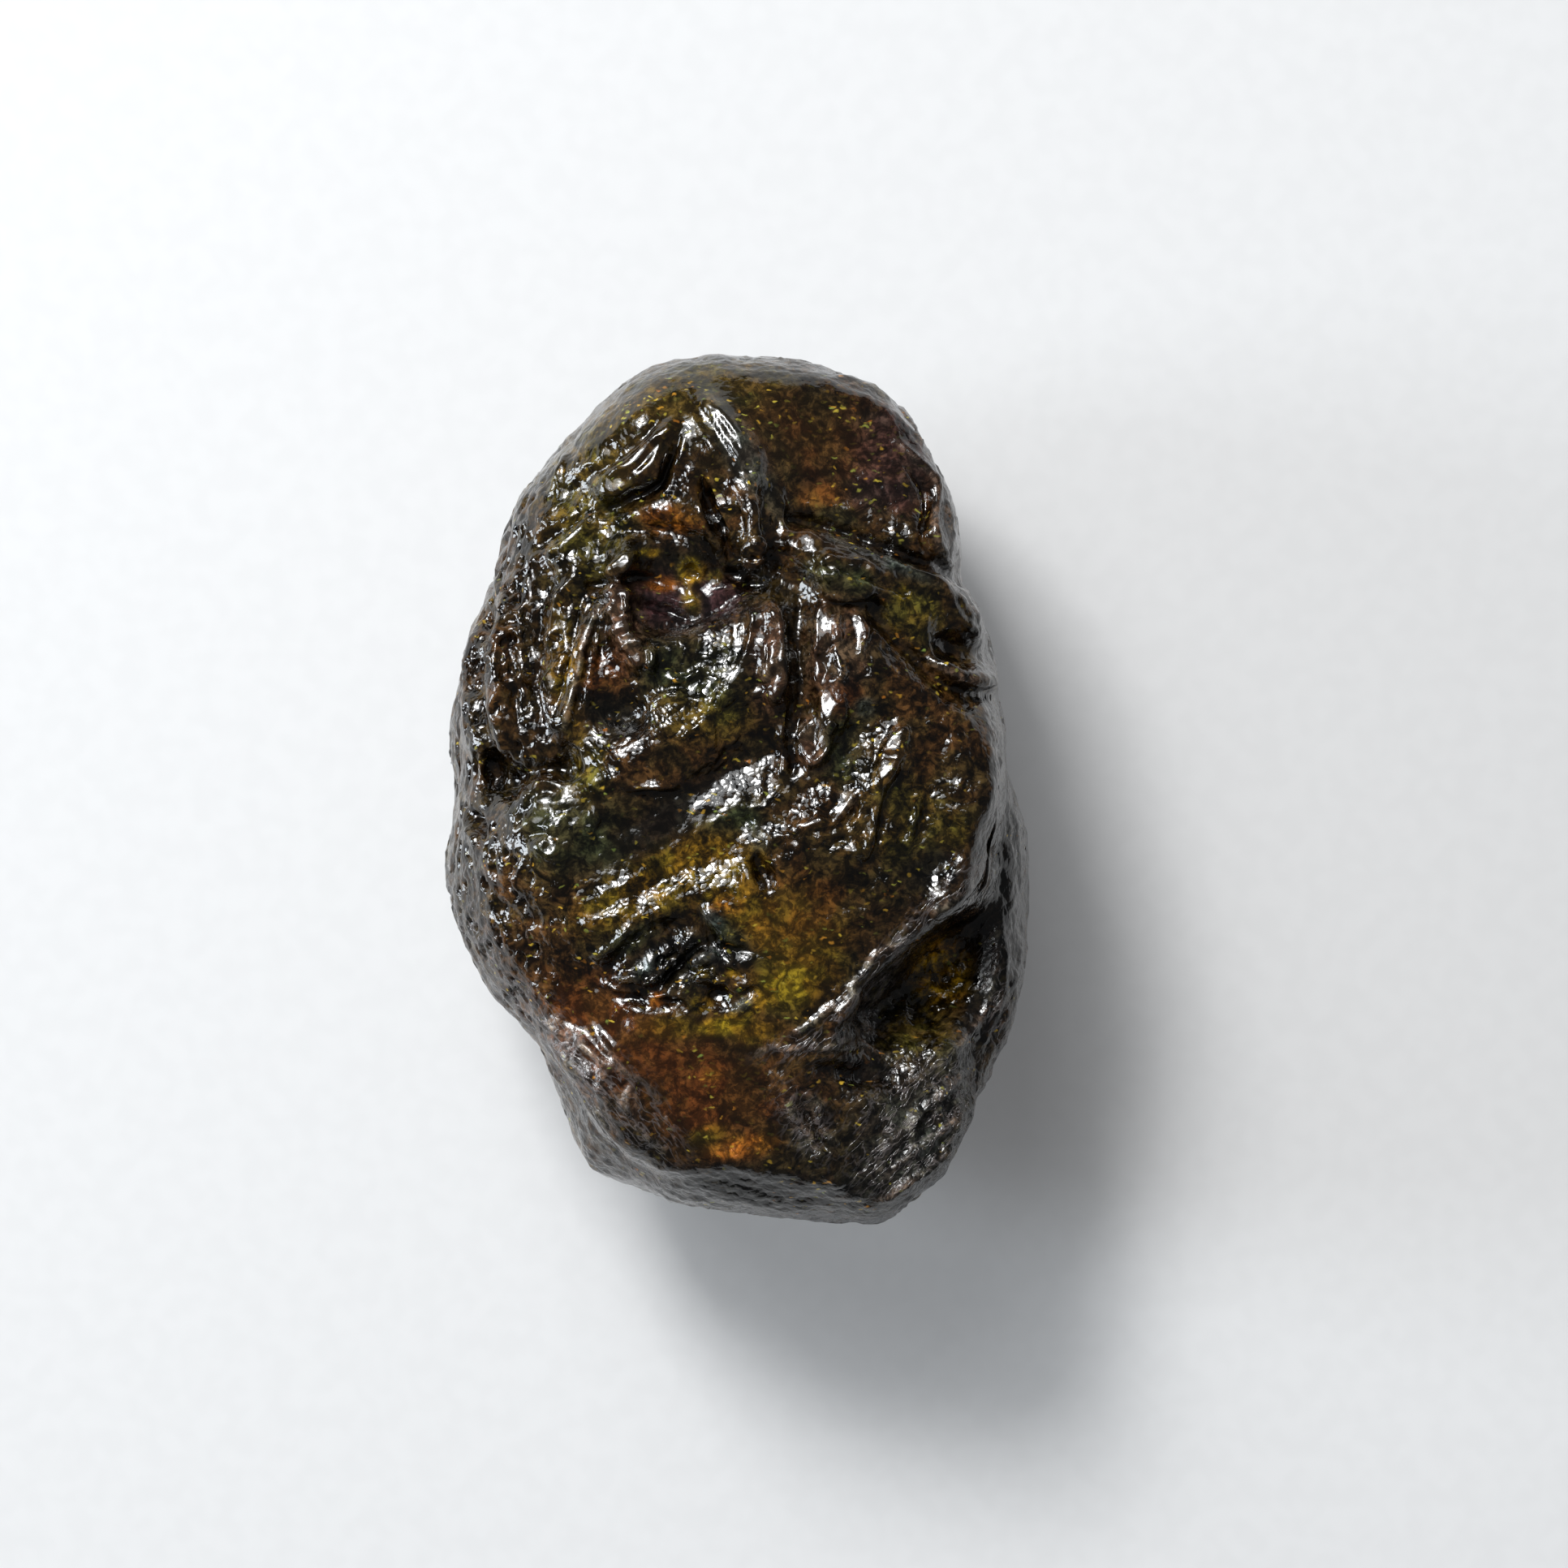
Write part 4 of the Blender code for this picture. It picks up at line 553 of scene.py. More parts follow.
# Small worn flats. They share one lean, a rise towards +x and a fall towards +y, which mirrors the key light
# into the camera, so that the highlights fall where the photo has them. The lean isn't measured from the
# stone. The amount is how level a flat is worn.
FLATS_LEAN = (0.19, -0.31)
FLATS = {
    "crest_streak": Zone((-0.60, 15.50), (1.6, 0.55), -58, 0.9),
    "crest_thin": Zone((-1.60, 16.10), (1.1, 0.16), -62, 0.9),
    "left_facet": Zone((-3.90, 14.10), (1.6, 0.68), 42, 0.85),
    "left_facet_end": Zone((-5.20, 13.05), (0.7, 0.55), 30, 0.9),
    "apex_left_lip": Zone((-3.10, 14.30), (1.0, 0.20), 72, 0.9),
    "leaf_pit_left": Zone((-1.65, 12.60), (0.9, 0.16), 95, 0.9),
    "leaf_pit_tail": Zone((-0.80, 10.70), (0.6, 0.14), 110, 0.9),
    "drip_body": Zone((0.35, 11.00), (0.7, 0.14), 85, 0.9),
    "drip_foot": Zone((0.80, 9.85), (0.42, 0.24), 0, 1.0),
    "drip_right": Zone((1.95, 11.30), (0.7, 0.16), 95, 0.8),
    "shoulder_facet": Zone((3.20, 10.60), (1.00, 0.42), -24, 0.7),
    "shoulder_band": Zone((4.50, 10.25), (0.80, 0.22), -20, 0.6),
    "shoulder_blob": Zone((5.70, 9.50), (0.36, 0.26), 0, 0.9),
    "shoulder_knob": Zone((4.15, 9.50), (0.36, 0.30), 0, 0.9),
    "shoulder_spark": Zone((3.20, 9.70), (0.30, 0.26), 0, 0.9),
    "basin_rim_top": Zone((-4.85, 9.60), (0.60, 0.34), 50, 0.9),
    "basin_rim_two": Zone((-5.00, 8.05), (0.75, 0.44), 75, 1.0),
    "basin_rim_three": Zone((-4.95, 6.95), (0.52, 0.42), 100, 1.0),
    "basin_rim_four": Zone((-4.60, 6.20), (0.52, 0.42), 130, 1.0),
    "basin_bead": Zone((-4.02, 5.55), (0.58, 0.52), 0, 1.0),
    "vein_top": Zone((0.98, 7.10), (0.50, 0.14), 58, 1.0),
    "vein": Zone((0.78, 6.20), (0.75, 0.18), 86, 1.0),
    "vein_low": Zone((0.50, 5.50), (0.45, 0.12), 50, 1.0),
    "bead_string": Zone((0.00, 6.40), (1.00, 0.09), 95, 0.9),
    "left_ridge": Zone((1.57, 5.70), (1.20, 0.58), 86, 1.0),
    "left_ridge_low": Zone((1.75, 4.40), (0.80, 0.38), 80, 1.0),
    "left_ridge_top": Zone((1.50, 6.90), (0.40, 0.26), -40, 0.9),
    "left_ridge_foot": Zone((0.95, 4.15), (0.5, 0.24), 30, 0.9),
    "left_beads": Zone((1.95, 2.60), (0.8, 0.16), 88, 0.8),
    "mound_high": Zone((3.80, 7.00), (0.95, 0.42), 85, 1.0),
    "mound_low": Zone((3.75, 5.10), (0.90, 0.56), 70, 1.0),
    "mound_right": Zone((5.35, 6.60), (0.8, 0.22), 80, 0.9),
    "mound_ring": Zone((4.00, 3.60), (0.95, 0.48), 88, 1.0),
    "fork": Zone((3.35, 1.85), (1.00, 0.72), 90, 1.0),
    "fork_foot": Zone((2.85, 0.70), (0.5, 0.24), 80, 0.9),
    "right_streak": Zone((6.65, 1.25), (1.35, 0.48), 70, 1.0),
    "wrinkle_near": Zone((4.60, -0.90), (0.7, 0.26), 55, 0.9),
    "wrinkle_left": Zone((3.30, -1.60), (0.7, 0.22), 10, 0.9),
    "wrinkle_low": Zone((4.20, -1.95), (0.5, 0.20), 0, 0.9),
    "wrinkle_middle": Zone((5.80, -1.80), (0.9, 0.18), 85, 0.9),
    "wrinkle_beads": Zone((4.90, -2.75), (0.6, 0.18), 0, 0.9),
    "furrow_foot": Zone((2.50, -2.40), (0.4, 0.30), 0, 0.9),
    "bump_top": Zone((-8.20, -0.25), (1.05, 0.72), 10, 1.0),
    "bump_middle": Zone((-8.60, -1.40), (0.60, 0.28), 20, 0.9),
    "bump_low": Zone((-8.10, -2.70), (0.50, 0.30), 0, 0.9),
    "side_beads": Zone((-6.10, -1.00), (0.5, 0.22), 90, 0.8),
    "bulge_line": Zone((-3.80, 0.02), (1.2, 0.14), 0, 0.8),
    "bulge_curl": Zone((-0.60, 1.20), (0.5, 0.13), 55, 0.9),
    "flake_high": Zone((-6.45, 6.70), (0.60, 0.26), 70, 0.8),
    "flake_middle": Zone((-6.75, 5.20), (0.50, 0.24), 80, 0.7),
    "flake_low": Zone((-7.10, 4.00), (0.60, 0.24), 78, 0.8),
    "bundle_inner": Zone((-7.80, 7.30), (0.70, 0.24), 82, 0.8),
    "bundle_low": Zone((-8.00, 4.60), (0.50, 0.24), 88, 0.7),
    "bundle_outer": Zone((-8.80, 8.90), (1.1, 0.20), 88, 0.8),
    "high_slant": Zone((-7.10, 10.80), (0.7, 0.24), 35, 0.8),
    "high_glint": Zone((-7.50, 13.80), (0.7, 0.16), 85, 0.8),
    "centre_sheen": Zone((0.05, 4.85), (0.65, 0.42), 30, 0.8),
    "centre_sheen_low": Zone((-0.95, 4.45), (0.42, 0.20), 40, 0.8),
    "centre_sheen_left": Zone((-2.95, 4.75), (0.34, 0.34), 0, 0.8),
    "centre_sheen_deep": Zone((-1.80, 4.15), (0.50, 0.18), 60, 0.8),
    "centre_slant": Zone((-0.10, 3.55), (0.90, 0.12), 42, 0.9),
    "tongue": Zone((-3.80, -7.60), (0.62, 0.30), 45, 0.8),
    "tongue_bar": Zone((-3.00, -7.00), (0.34, 0.14), 30, 1.0),
    "knob_top": Zone((-1.45, -7.35), (0.48, 0.20), 20, 0.8),
    "bead_row": Zone((-2.80, -8.92), (0.38, 0.13), 0, 0.9),
    "golden_bead": Zone((0.50, -3.70), (0.5, 0.20), 80, 0.9),
}

# Thin cuts across the flats
CUTS = {
    "tongue_split_one": Fold(-0.25, 0.14, [(-4.6, -7.0, 0.6), (-4.1, -7.5, 1.0), (-3.9, -8.2, 0.8)]),
    "tongue_split_two": Fold(-0.22, 0.14, [(-3.7, -6.4, 0.6), (-3.3, -7.0, 1.0), (-3.2, -7.7, 0.8)]),
    "tongue_split_three": Fold(-0.22, 0.13, [(-2.9, -6.0, 0.6), (-2.6, -6.6, 1.0), (-2.5, -7.2, 0.8)]),
    "crest_cut": Fold(-0.16, 0.13, [
        (-1.9, 17.0, 0.4), (-1.3, 16.1, 1.0), (-0.8, 15.2, 1.0), (-0.2, 14.3, 0.9), (0.2, 13.6, 0.4),
    ]),
    "crest_cut_right": Fold(-0.12, 0.12, [
        (-0.9, 16.2, 0.5), (-0.3, 15.4, 1.0), (0.2, 14.6, 0.6), (0.6, 13.6, 0.9),
    ]),
    "facet_cut": Fold(-0.12, 0.12, [(-4.6, 13.5, 0.6), (-4.0, 14.0, 1.0), (-3.3, 14.9, 0.6)]),
    "rim_cut_one": Fold(-0.22, 0.13, [(-5.7, 8.6, 0.6), (-5.0, 8.65, 1.0), (-4.4, 8.75, 0.6)]),
    "rim_cut_petal": Fold(-0.16, 0.12, [(-4.95, 8.4, 0.7), (-4.9, 7.9, 1.0), (-4.85, 7.5, 0.7)]),
    "rim_cut_two": Fold(-0.22, 0.13, [(-5.6, 7.3, 0.6), (-4.9, 7.45, 1.0), (-4.3, 7.6, 0.6)]),
    "rim_cut_three": Fold(-0.22, 0.13, [(-5.4, 6.4, 0.6), (-4.8, 6.6, 1.0), (-4.3, 6.8, 0.6)]),
    "rim_cut_four": Fold(-0.20, 0.13, [(-4.8, 5.7, 0.6), (-4.4, 5.95, 1.0), (-3.9, 6.15, 0.6)]),
    "rim_slit": Fold(-0.22, 0.12, [(-3.85, 5.9, 0.7), (-3.85, 5.5, 1.0), (-3.9, 5.1, 0.8)]),
    "ridge_cut": Fold(-0.16, 0.13, [(1.35, 6.5, 0.6), (1.6, 6.0, 1.0), (1.5, 5.4, 0.6), (1.75, 4.9, 1.0)]),
    "mound_cut": Fold(-0.16, 0.13, [(3.6, 5.6, 0.6), (3.9, 5.1, 1.0), (3.7, 4.6, 0.6)]),
    "fork_cut": Fold(-0.20, 0.14, [(3.4, 2.6, 0.8), (3.4, 1.9, 1.0), (3.3, 1.3, 0.6)]),
    "fork_cut_across": Fold(-0.14, 0.12, [(2.9, 1.7, 0.6), (3.4, 1.55, 1.0), (3.9, 1.8, 0.6)]),
    "streak_cut": Fold(-0.14, 0.13, [(6.3, 1.5, 0.6), (6.7, 1.3, 1.0), (7.0, 1.4, 0.6)]),
    "bump_cut": Fold(-0.16, 0.14, [(-8.8, -0.4, 0.6), (-8.2, -0.15, 1.0), (-7.7, -0.3, 0.6)]),
}

# Where horny fibres lie in the skin, rougher and with a painted pale sheen. The amount is how thick they lie.
HORN_AND_SHEEN_ZONES = {
    "ledge": Zone((6.3, -8.2), (3.9, 0.8), 51, 1.0),
    "ledge_foot": Zone((3.8, -11.0), (2.4, 0.6), 10, 0.9),
    "high_edge": Zone((9.8, -4.0), (1.9, 0.4), 52, 0.7),
    "lower_right": Zone((8.0, -14.6), (3.6, 2.4), 45, 0.9),
    "right_rim": Zone((11.2, -8.8), (3.2, 0.6), 100, 0.8),
    "neck_chains": Zone((3.0, -14.4), (1.8, 1.0), -60, 0.6),
    "sleeve": Zone((-7.6, -11.4), (4.6, 1.1), -48, 1.0),
    "sleeve_low": Zone((-4.4, -13.8), (2.6, 1.1), -52, 0.8),
    "left_edge": Zone((-11.2, -7.0), (3.2, 0.8), -62, 0.9),
    "foot_left": Zone((-4.2, -16.8), (1.8, 0.5), -20, 0.8),
}

# Where the skin is wrinkled and beaded, and where it is smooth. The amount is added to 1 of plain ground.
ROUGH_ZONES = {
    "crown": Zone((-1.0, 16.0), (5.5, 2.6), 0, -0.55),
    "crown_right_lobe": Zone((5.0, 13.6), (3.8, 3.4), -20, -0.35),
    "brown_neck": Zone((-1.5, -13.8), (4.0, 2.8), -20, -0.5),
    "red_sleeve": Zone((-5.8, -10.2), (2.6, 1.6), -30, -0.6),
    "golden_slope": Zone((2.4, -6.6), (2.6, 3.0), -10, -0.55),
    "sole": Zone((-1.6, -11.2), (4.4, 1.5), 0, -0.5),
    "left_bulge": Zone((-4.0, 0.8), (2.0, 1.6), 0, -0.1),
    "glitter_centre": Zone((-1.6, 4.2), (2.4, 2.0), 0, 0.7),
    "golden_ridge": Zone((-3.8, -4.2), (3.2, 1.1), 24, 0.1),
    "glitter_right": Zone((4.2, 0.0), (3.2, 4.2), 0, 0.35),
    "golden_plateau": Zone((-0.8, -3.0), (2.2, 1.4), 0, -0.05),
    "wrinkled_hollow": Zone((-2.5, -7.4), (2.8, 1.8), 0, 0.4),
    "slanting_valley": Zone((-2.6, -1.4), (4.4, 0.9), 32, -0.6),
    "basin": Zone((-2.6, 8.6), (2.4, 1.6), 0, -0.5),
    "lower_right": Zone((8.5, -14.5), (3.0, 4.0), -40, 0.7),
    "right_hollow": Zone((8.5, -8.5), (2.4, 3.0), -20, 0.2),
}

# Where bright flecks lie in the amber. The amount is their share, on top of a few everywhere.
FLECK_ZONES = {
    "crown_right": Zone((3.2, 15.6), (4.6, 2.8), -10, 0.8),
    "crown_left": Zone((-3.4, 16.8), (3.0, 1.6), 20, 0.7),
    "right_lobe": Zone((5.4, 12.6), (3.4, 2.2), -20, 0.5),
    "basin": Zone((-2.2, 8.8), (2.2, 1.6), 0, 0.6),
    "right_flap": Zone((7.6, 7.8), (1.6, 1.4), -30, 0.6),
    "golden_slope": Zone((1.0, -7.0), (3.6, 4.0), 0, 0.6),
    "left_flank": Zone((-6.6, 5.6), (1.4, 5.4), 8, 0.4),
    "hollow_spot": Zone((8.9, -8.0), (1.0, 1.1), 0, 0.9),
    "neck": Zone((0.0, -14.0), (3.6, 2.2), 0, 0.4),
}

# Paints of the stains and of the painted shade and sheen, as linear colours
PAINTS = {
    "gold": (0.108, 0.066, 0.006),
    "yellow": (0.22, 0.140, 0.009),
    "orange": (0.22, 0.080, 0.011),
    "rust": (0.082, 0.028, 0.007),
    "brown": (0.050, 0.026, 0.009),
    "olive": (0.074, 0.058, 0.010),
    "moss": (0.030, 0.035, 0.017),
    # Grey-blue of a painted sheen.
    "painted_sheen_grey": (0.055, 0.066, 0.068),
    # Rose of a painted sheen around highlights.
    "painted_rose_sheen": (0.105, 0.062, 0.044),
    "violet": (0.038, 0.020, 0.026),
    # Near black: a few dark stains of the amber, and mostly painted shade in creases, hollows and the valley,
    # and on the foot and right rim.
    "black_and_painted_shade": (0.007, 0.006, 0.005),
    # Pale of a painted grazing sheen on fold crests.
    "painted_pale_sheen": (0.150, 0.125, 0.112),
    "glow": (0.80, 0.42, 0.020),
}
PLAIN_AMBER = (0.022, 0.013, 0.005)

# Stains of the face, listed one by one. The amount is how strong each is.
# Painted shade, painted sheen and a painted glow stand among them, under the paints named for them.
STAINS_AND_PAINTED_LIGHT = {
    "crown_brown": ColourMark("brown", (4.6, 13.4), (4.6, 4.2), -15, 0.75),
    "crown_olive": ColourMark("olive", (-2.0, 17.2), (4.2, 1.6), 12, 0.4),
    "crown_left_olive": ColourMark("olive", (-6.4, 14.0), (1.6, 2.4), -35, 0.45),
    "crown_violet": ColourMark("violet", (7.0, 14.6), (1.8, 2.2), 20, 0.6),
    "crown_violet_low": ColourMark("violet", (6.3, 12.6), (1.6, 0.9), -15, 0.5),
    "crown_moss": ColourMark("moss", (2.2, 14.2), (0.7, 1.1), 20, 0.6),
    "crown_moss_low": ColourMark("moss", (4.4, 11.7), (0.9, 0.5), -15, 0.7),
    "crown_dark": ColourMark("black_and_painted_shade", (3.7, 13.6), (1.0, 0.5), 30, 0.55),
    "crown_dark_top": ColourMark("black_and_painted_shade", (3.3, 17.4), (1.3, 0.5), -10, 0.5),
    "crown_orange_low": ColourMark("orange", (3.6, 12.5), (0.9, 0.5), 20, 0.25),
    # Painted sheen on the crest's flank.
    "crest_steel": ColourMark("painted_sheen_grey", (0.5, 14.0), (2.8, 0.7), -63, 0.55),
    "crown_rust": ColourMark("rust", (3.4, 14.6), (1.8, 1.2), 0, 0.3),
    "drip_brown": ColourMark("brown", (0.6, 11.4), (1.2, 1.6), 0, 0.7),
    "ochre_patch": ColourMark("orange", (-2.8, 11.5), (1.2, 0.55), -5, 0.6),
    # Dark amber of the basin, with painted shade along its upper edge.
    "basin_black": ColourMark("black_and_painted_shade", (-2.4, 8.6), (2.7, 2.0), 0, 0.7),
    "basin_violet": ColourMark("violet", (-2.2, 8.0), (2.3, 1.1), 6, 0.8),
    "basin_orange": ColourMark("orange", (-3.1, 8.75), (0.6, 0.28), 0, 0.9),
    "basin_gold": ColourMark("yellow", (-1.9, 9.3), (0.5, 0.5), 0, 0.9),
    "basin_gold_low": ColourMark("gold", (-1.9, 8.0), (0.35, 0.6), 20, 0.9),
    "basin_moss": ColourMark("yellow", (-3.75, 10.1), (0.45, 0.16), 0, 0.8),
    "basin_side_moss": ColourMark("olive", (-0.9, 9.1), (0.3, 0.3), 0, 0.9),
    "flank_olive": ColourMark("olive", (-6.4, 11.0), (1.6, 2.0), -20, 0.6),
    "flank_brown": ColourMark("brown", (-10.2, 5.0), (0.9, 2.4), 0, 0.5),
    "flank_gold": ColourMark("gold", (-7.4, 5.0), (0.6, 2.4), 8, 0.6),
    "flake_gold": ColourMark("yellow", (-6.9, 5.6), (0.3, 1.0), 10, 0.5),
    "left_rust": ColourMark("rust", (-5.4, 4.9), (1.4, 1.1), 20, 0.6),
    "bulge_brown": ColourMark("brown", (-3.2, 1.6), (2.8, 1.8), 0, 0.6),
    "bulge_gold": ColourMark("olive", (-6.4, 0.9), (0.7, 1.4), 0, 0.9),
    "centre_moss": ColourMark("moss", (-1.8, 5.0), (2.2, 1.3), 0, 0.8),
    "centre_gold": ColourMark("olive", (-1.6, 3.0), (2.0, 1.0), 0, 0.7),
    # Painted sheen around the highlights of the mound, ridge, fork and basin rim, over their brown amber.
    "mound_rose": ColourMark("painted_rose_sheen", (4.3, 5.9), (1.4, 2.0), 0, 0.55),
    "ridge_rose": ColourMark("painted_rose_sheen", (1.5, 5.4), (0.8, 1.9), 0, 0.6),
    "fork_rose": ColourMark("painted_rose_sheen", (3.4, 1.9), (0.8, 1.0), 0, 0.7),
    "basin_rim_rose": ColourMark("painted_rose_sheen", (-4.8, 6.9), (0.7, 1.8), 8, 0.6),
    "mound_rust": ColourMark("rust", (5.0, 3.6), (0.7, 0.8), 0, 0.7),
    "knob_moss": ColourMark("moss", (4.6, 9.0), (1.6, 0.7), -12, 0.8),
    # Painted shade in the shoulder groove, and painted sheen on the band under it.
    "shoulder_black": ColourMark("black_and_painted_shade", (5.6, 10.75), (3.2, 0.28), -22, 0.85),
    "shoulder_steel": ColourMark("painted_sheen_grey", (6.0, 9.95), (2.4, 0.30), -22, 0.7),
    # A spot of painted sheen.
    "blue_spot": ColourMark("painted_sheen_grey", (5.6, 3.4), (0.45, 0.4), 0, 0.9),
    "right_bulge_steel": ColourMark("moss", (5.2, 1.6), (1.4, 1.6), 0, 0.8),
    "right_bulge_brown": ColourMark("brown", (8.0, 2.0), (2.4, 3.2), 0, 0.8),
    "right_bulge_olive": ColourMark("olive", (6.8, -1.4), (2.6, 1.6), 0, 0.6),
    "right_flap_moss": ColourMark("olive", (7.8, 7.4), (1.2, 0.9), -30, 0.8),
    "right_flap_fleck": ColourMark("yellow", (7.25, 8.3), (0.28, 0.28), 0, 0.9),
    # Painted shade in the furrow and the slanting valley.
    "furrow_black": ColourMark("black_and_painted_shade", (2.4, 5.2), (0.5, 2.9), 0, 0.55),
    "valley_black": ColourMark("black_and_painted_shade", (-2.4, -1.1), (4.4, 0.9), 32, 0.9),
    "wrinkle_brown": ColourMark("brown", (4.6, -1.2), (2.2, 1.2), 0, 0.8),
    # Painted sheen on the wrinkles and the plateau.
    "wrinkle_steel": ColourMark("painted_sheen_grey", (4.7, -0.6), (0.5, 0.4), 45, 0.5),
    "plateau_moss": ColourMark("moss", (-0.2, -1.6), (1.4, 0.7), 20, 0.9),
    "plateau_steel": ColourMark("painted_sheen_grey", (0.8, -2.2), (0.6, 0.6), 0, 0.45),
    "golden_ridge": ColourMark("gold", (-3.4, -4.2), (3.6, 1.1), 24, 0.85),
    "golden_grain": ColourMark("gold", (-0.8, -3.0), (1.7, 1.0), 0, 0.9),
    "golden_slope": ColourMark("gold", (0.2, -5.0), (2.2, 1.2), -20, 0.95),
    "golden_slope_low": ColourMark("gold", (2.6, -7.0), (1.9, 2.4), -12, 0.7),
    "golden_slope_rust": ColourMark("rust", (2.8, -5.2), (2.0, 1.6), 0, 0.35),
    "golden_heart": ColourMark("yellow", (2.1, -8.6), (1.3, 0.8), 12, 0.6),
    "golden_heart_low": ColourMark("yellow", (0.4, -9.6), (1.0, 0.3), 30, 0.7),
    "golden_sole": ColourMark("yellow", (-0.5, -10.3), (1.1, 0.35), 8, 0.9),
    "golden_sole_left": ColourMark("gold", (-3.0, -10.4), (1.2, 0.5), 0, 0.9),
    "golden_sole_right": ColourMark("gold", (1.0, -10.6), (1.0, 0.5), 0, 0.9),
    "golden_drop": ColourMark("yellow", (-1.0, -12.4), (0.4, 0.3), 0, 0.85),
    "golden_spark": ColourMark("orange", (-0.3, -5.2), (0.7, 0.4), 0, 0.6),
    # Painted shade in the wrinkled hollow over its dark amber, with painted sheen on its tongue, knob, wedge
    # and low facet.
    "hollow_black": ColourMark("black_and_painted_shade", (-2.6, -7.4), (2.4, 1.2), 12, 0.9),
    "hollow_black_right": ColourMark("black_and_painted_shade", (-0.2, -7.3), (1.4, 0.6), -5, 0.85),
    "hollow_black_low": ColourMark("black_and_painted_shade", (-4.6, -8.9), (1.8, 0.4), -8, 0.85),
    "hollow_steel_tongue": ColourMark("painted_sheen_grey", (-3.75, -7.6), (0.7, 0.32), 45, 0.95),
    "hollow_steel_knob": ColourMark("painted_sheen_grey", (-1.3, -7.4), (0.6, 0.3), 20, 0.95),
    "hollow_olive_knob": ColourMark("olive", (-1.35, -7.9), (0.35, 0.4), 0, 0.9),
    "hollow_green_bead": ColourMark("yellow", (-0.1, -8.0), (0.25, 0.15), 0, 0.8),
    "hollow_moss_roll": ColourMark("moss", (-0.3, -6.2), (0.9, 0.4), -40, 0.9),
    "hollow_steel_wedge": ColourMark("painted_sheen_grey", (-1.0, -5.6), (0.6, 0.3), -35, 0.9),
    "hollow_moss_left": ColourMark("moss", (-4.6, -6.6), (1.2, 0.5), 35, 0.9),
    "hollow_orange": ColourMark("orange", (-3.4, -9.2), (0.3, 0.25), 0, 0.9),
    "hollow_yellow": ColourMark("yellow", (-1.5, -9.4), (0.4, 0.3), 0, 0.7),
    "hollow_steel_low": ColourMark("painted_sheen_grey", (0.3, -9.4), (0.5, 0.25), 30, 0.8),
    # Painted shade in the dark hollow.
    "dark_hollow": ColourMark("black_and_painted_shade", (-4.9, 3.0), (1.9, 1.0), -20, 0.85),
    "left_lobe_moss": ColourMark("moss", (-7.6, -2.2), (2.2, 1.8), 0, 0.7),
    "left_edge_brown": ColourMark("brown", (-9.0, -5.0), (2.0, 2.0), 0, 0.7),
    "sleeve_rust": ColourMark("rust", (-6.0, -10.6), (3.2, 2.0), -35, 0.8),
    "neck_rust": ColourMark("rust", (-2.0, -12.8), (2.6, 2.0), -30, 0.75),
    "neck_brown": ColourMark("rust", (1.2, -13.0), (3.0, 1.8), 0, 0.4),
    "neck_glow": ColourMark("orange", (0.2, -15.5), (1.5, 0.45), 8, 0.85),
    "neck_glow_left": ColourMark("gold", (-1.2, -15.0), (0.8, 0.4), 20, 0.6),
    # Painted shade on the foot and in the small oval hollow.
    "foot_black": ColourMark("black_and_painted_shade", (0.8, -17.6), (5.5, 1.2), -4, 0.95),
    "small_oval_black": ColourMark("black_and_painted_shade", (5.2, -12.4), (1.8, 0.5), 0, 0.8),
    # Painted shade over the right hollow's dark amber.
    "right_hollow_black": ColourMark("black_and_painted_shade", (8.4, -9.0), (2.6, 3.4), -15, 0.55),
    "right_hollow_olive": ColourMark("olive", (7.8, -10.6), (1.8, 1.4), -15, 0.5),
    # Painted glow: the gold spot is painted brighter, for light shining through the amber.
    "right_hollow_ring": ColourMark("glow", (8.9, -8.0), (1.0, 1.1), 0, 0.95),
    "right_hollow_heart": ColourMark("orange", (8.9, -8.2), (0.45, 0.5), 0, 0.6),
    # Painted shade on the back lobe, the right rim and the far foot; the bulge's hollow is a dark stain.
    "back_lobe_black": ColourMark("black_and_painted_shade", (12.0, -3.4), (1.2, 4.0), 0, 0.95),
    "bulge_hollow_black": ColourMark("black_and_painted_shade", (8.6, -3.5), (1.4, 1.0), 0, 0.8),
    "right_rim_black": ColourMark("black_and_painted_shade", (11.0, -9.0), (1.0, 3.2), -12, 0.7),
    "far_foot_black": ColourMark("black_and_painted_shade", (7.0, -16.6), (3.0, 1.4), 40, 0.6),
    "olive_spot": ColourMark("olive", (9.5, -1.9), (0.5, 0.6), 0, 0.9),
    # Painted sheen on the lower right and on the chains.
    "lower_right_steel": ColourMark("painted_sheen_grey", (8.0, -14.8), (2.2, 3.2), -40, 0.35),
    "ledge_brown": ColourMark("brown", (3.4, -11.2), (2.4, 1.0), 10, 0.8),
    "chain_steel": ColourMark("painted_sheen_grey", (3.0, -14.4), (0.9, 1.4), 25, 0.35),
}


def deselect_all():
    bpy.ops.object.select_all(action="DESELECT")


def make_active(obj):
    deselect_all()
    obj.select_set(True)
    bpy.context.view_layer.objects.active = obj


def mesh_points(mesh):
    """The mesh's points in millimetres."""
    places = np.empty(len(mesh.vertices) * 3)
    mesh.vertices.foreach_get("co", places)
    return places.reshape(-1, 3) / MM


def mesh_normals(mesh):
    normals = np.empty(len(mesh.vertices) * 3)
    mesh.vertices.foreach_get("normal", normals)
    return normals.reshape(-1, 3)


def set_points(mesh, places):
    mesh.vertices.foreach_set("co", (places * MM).ravel())
    mesh.update()


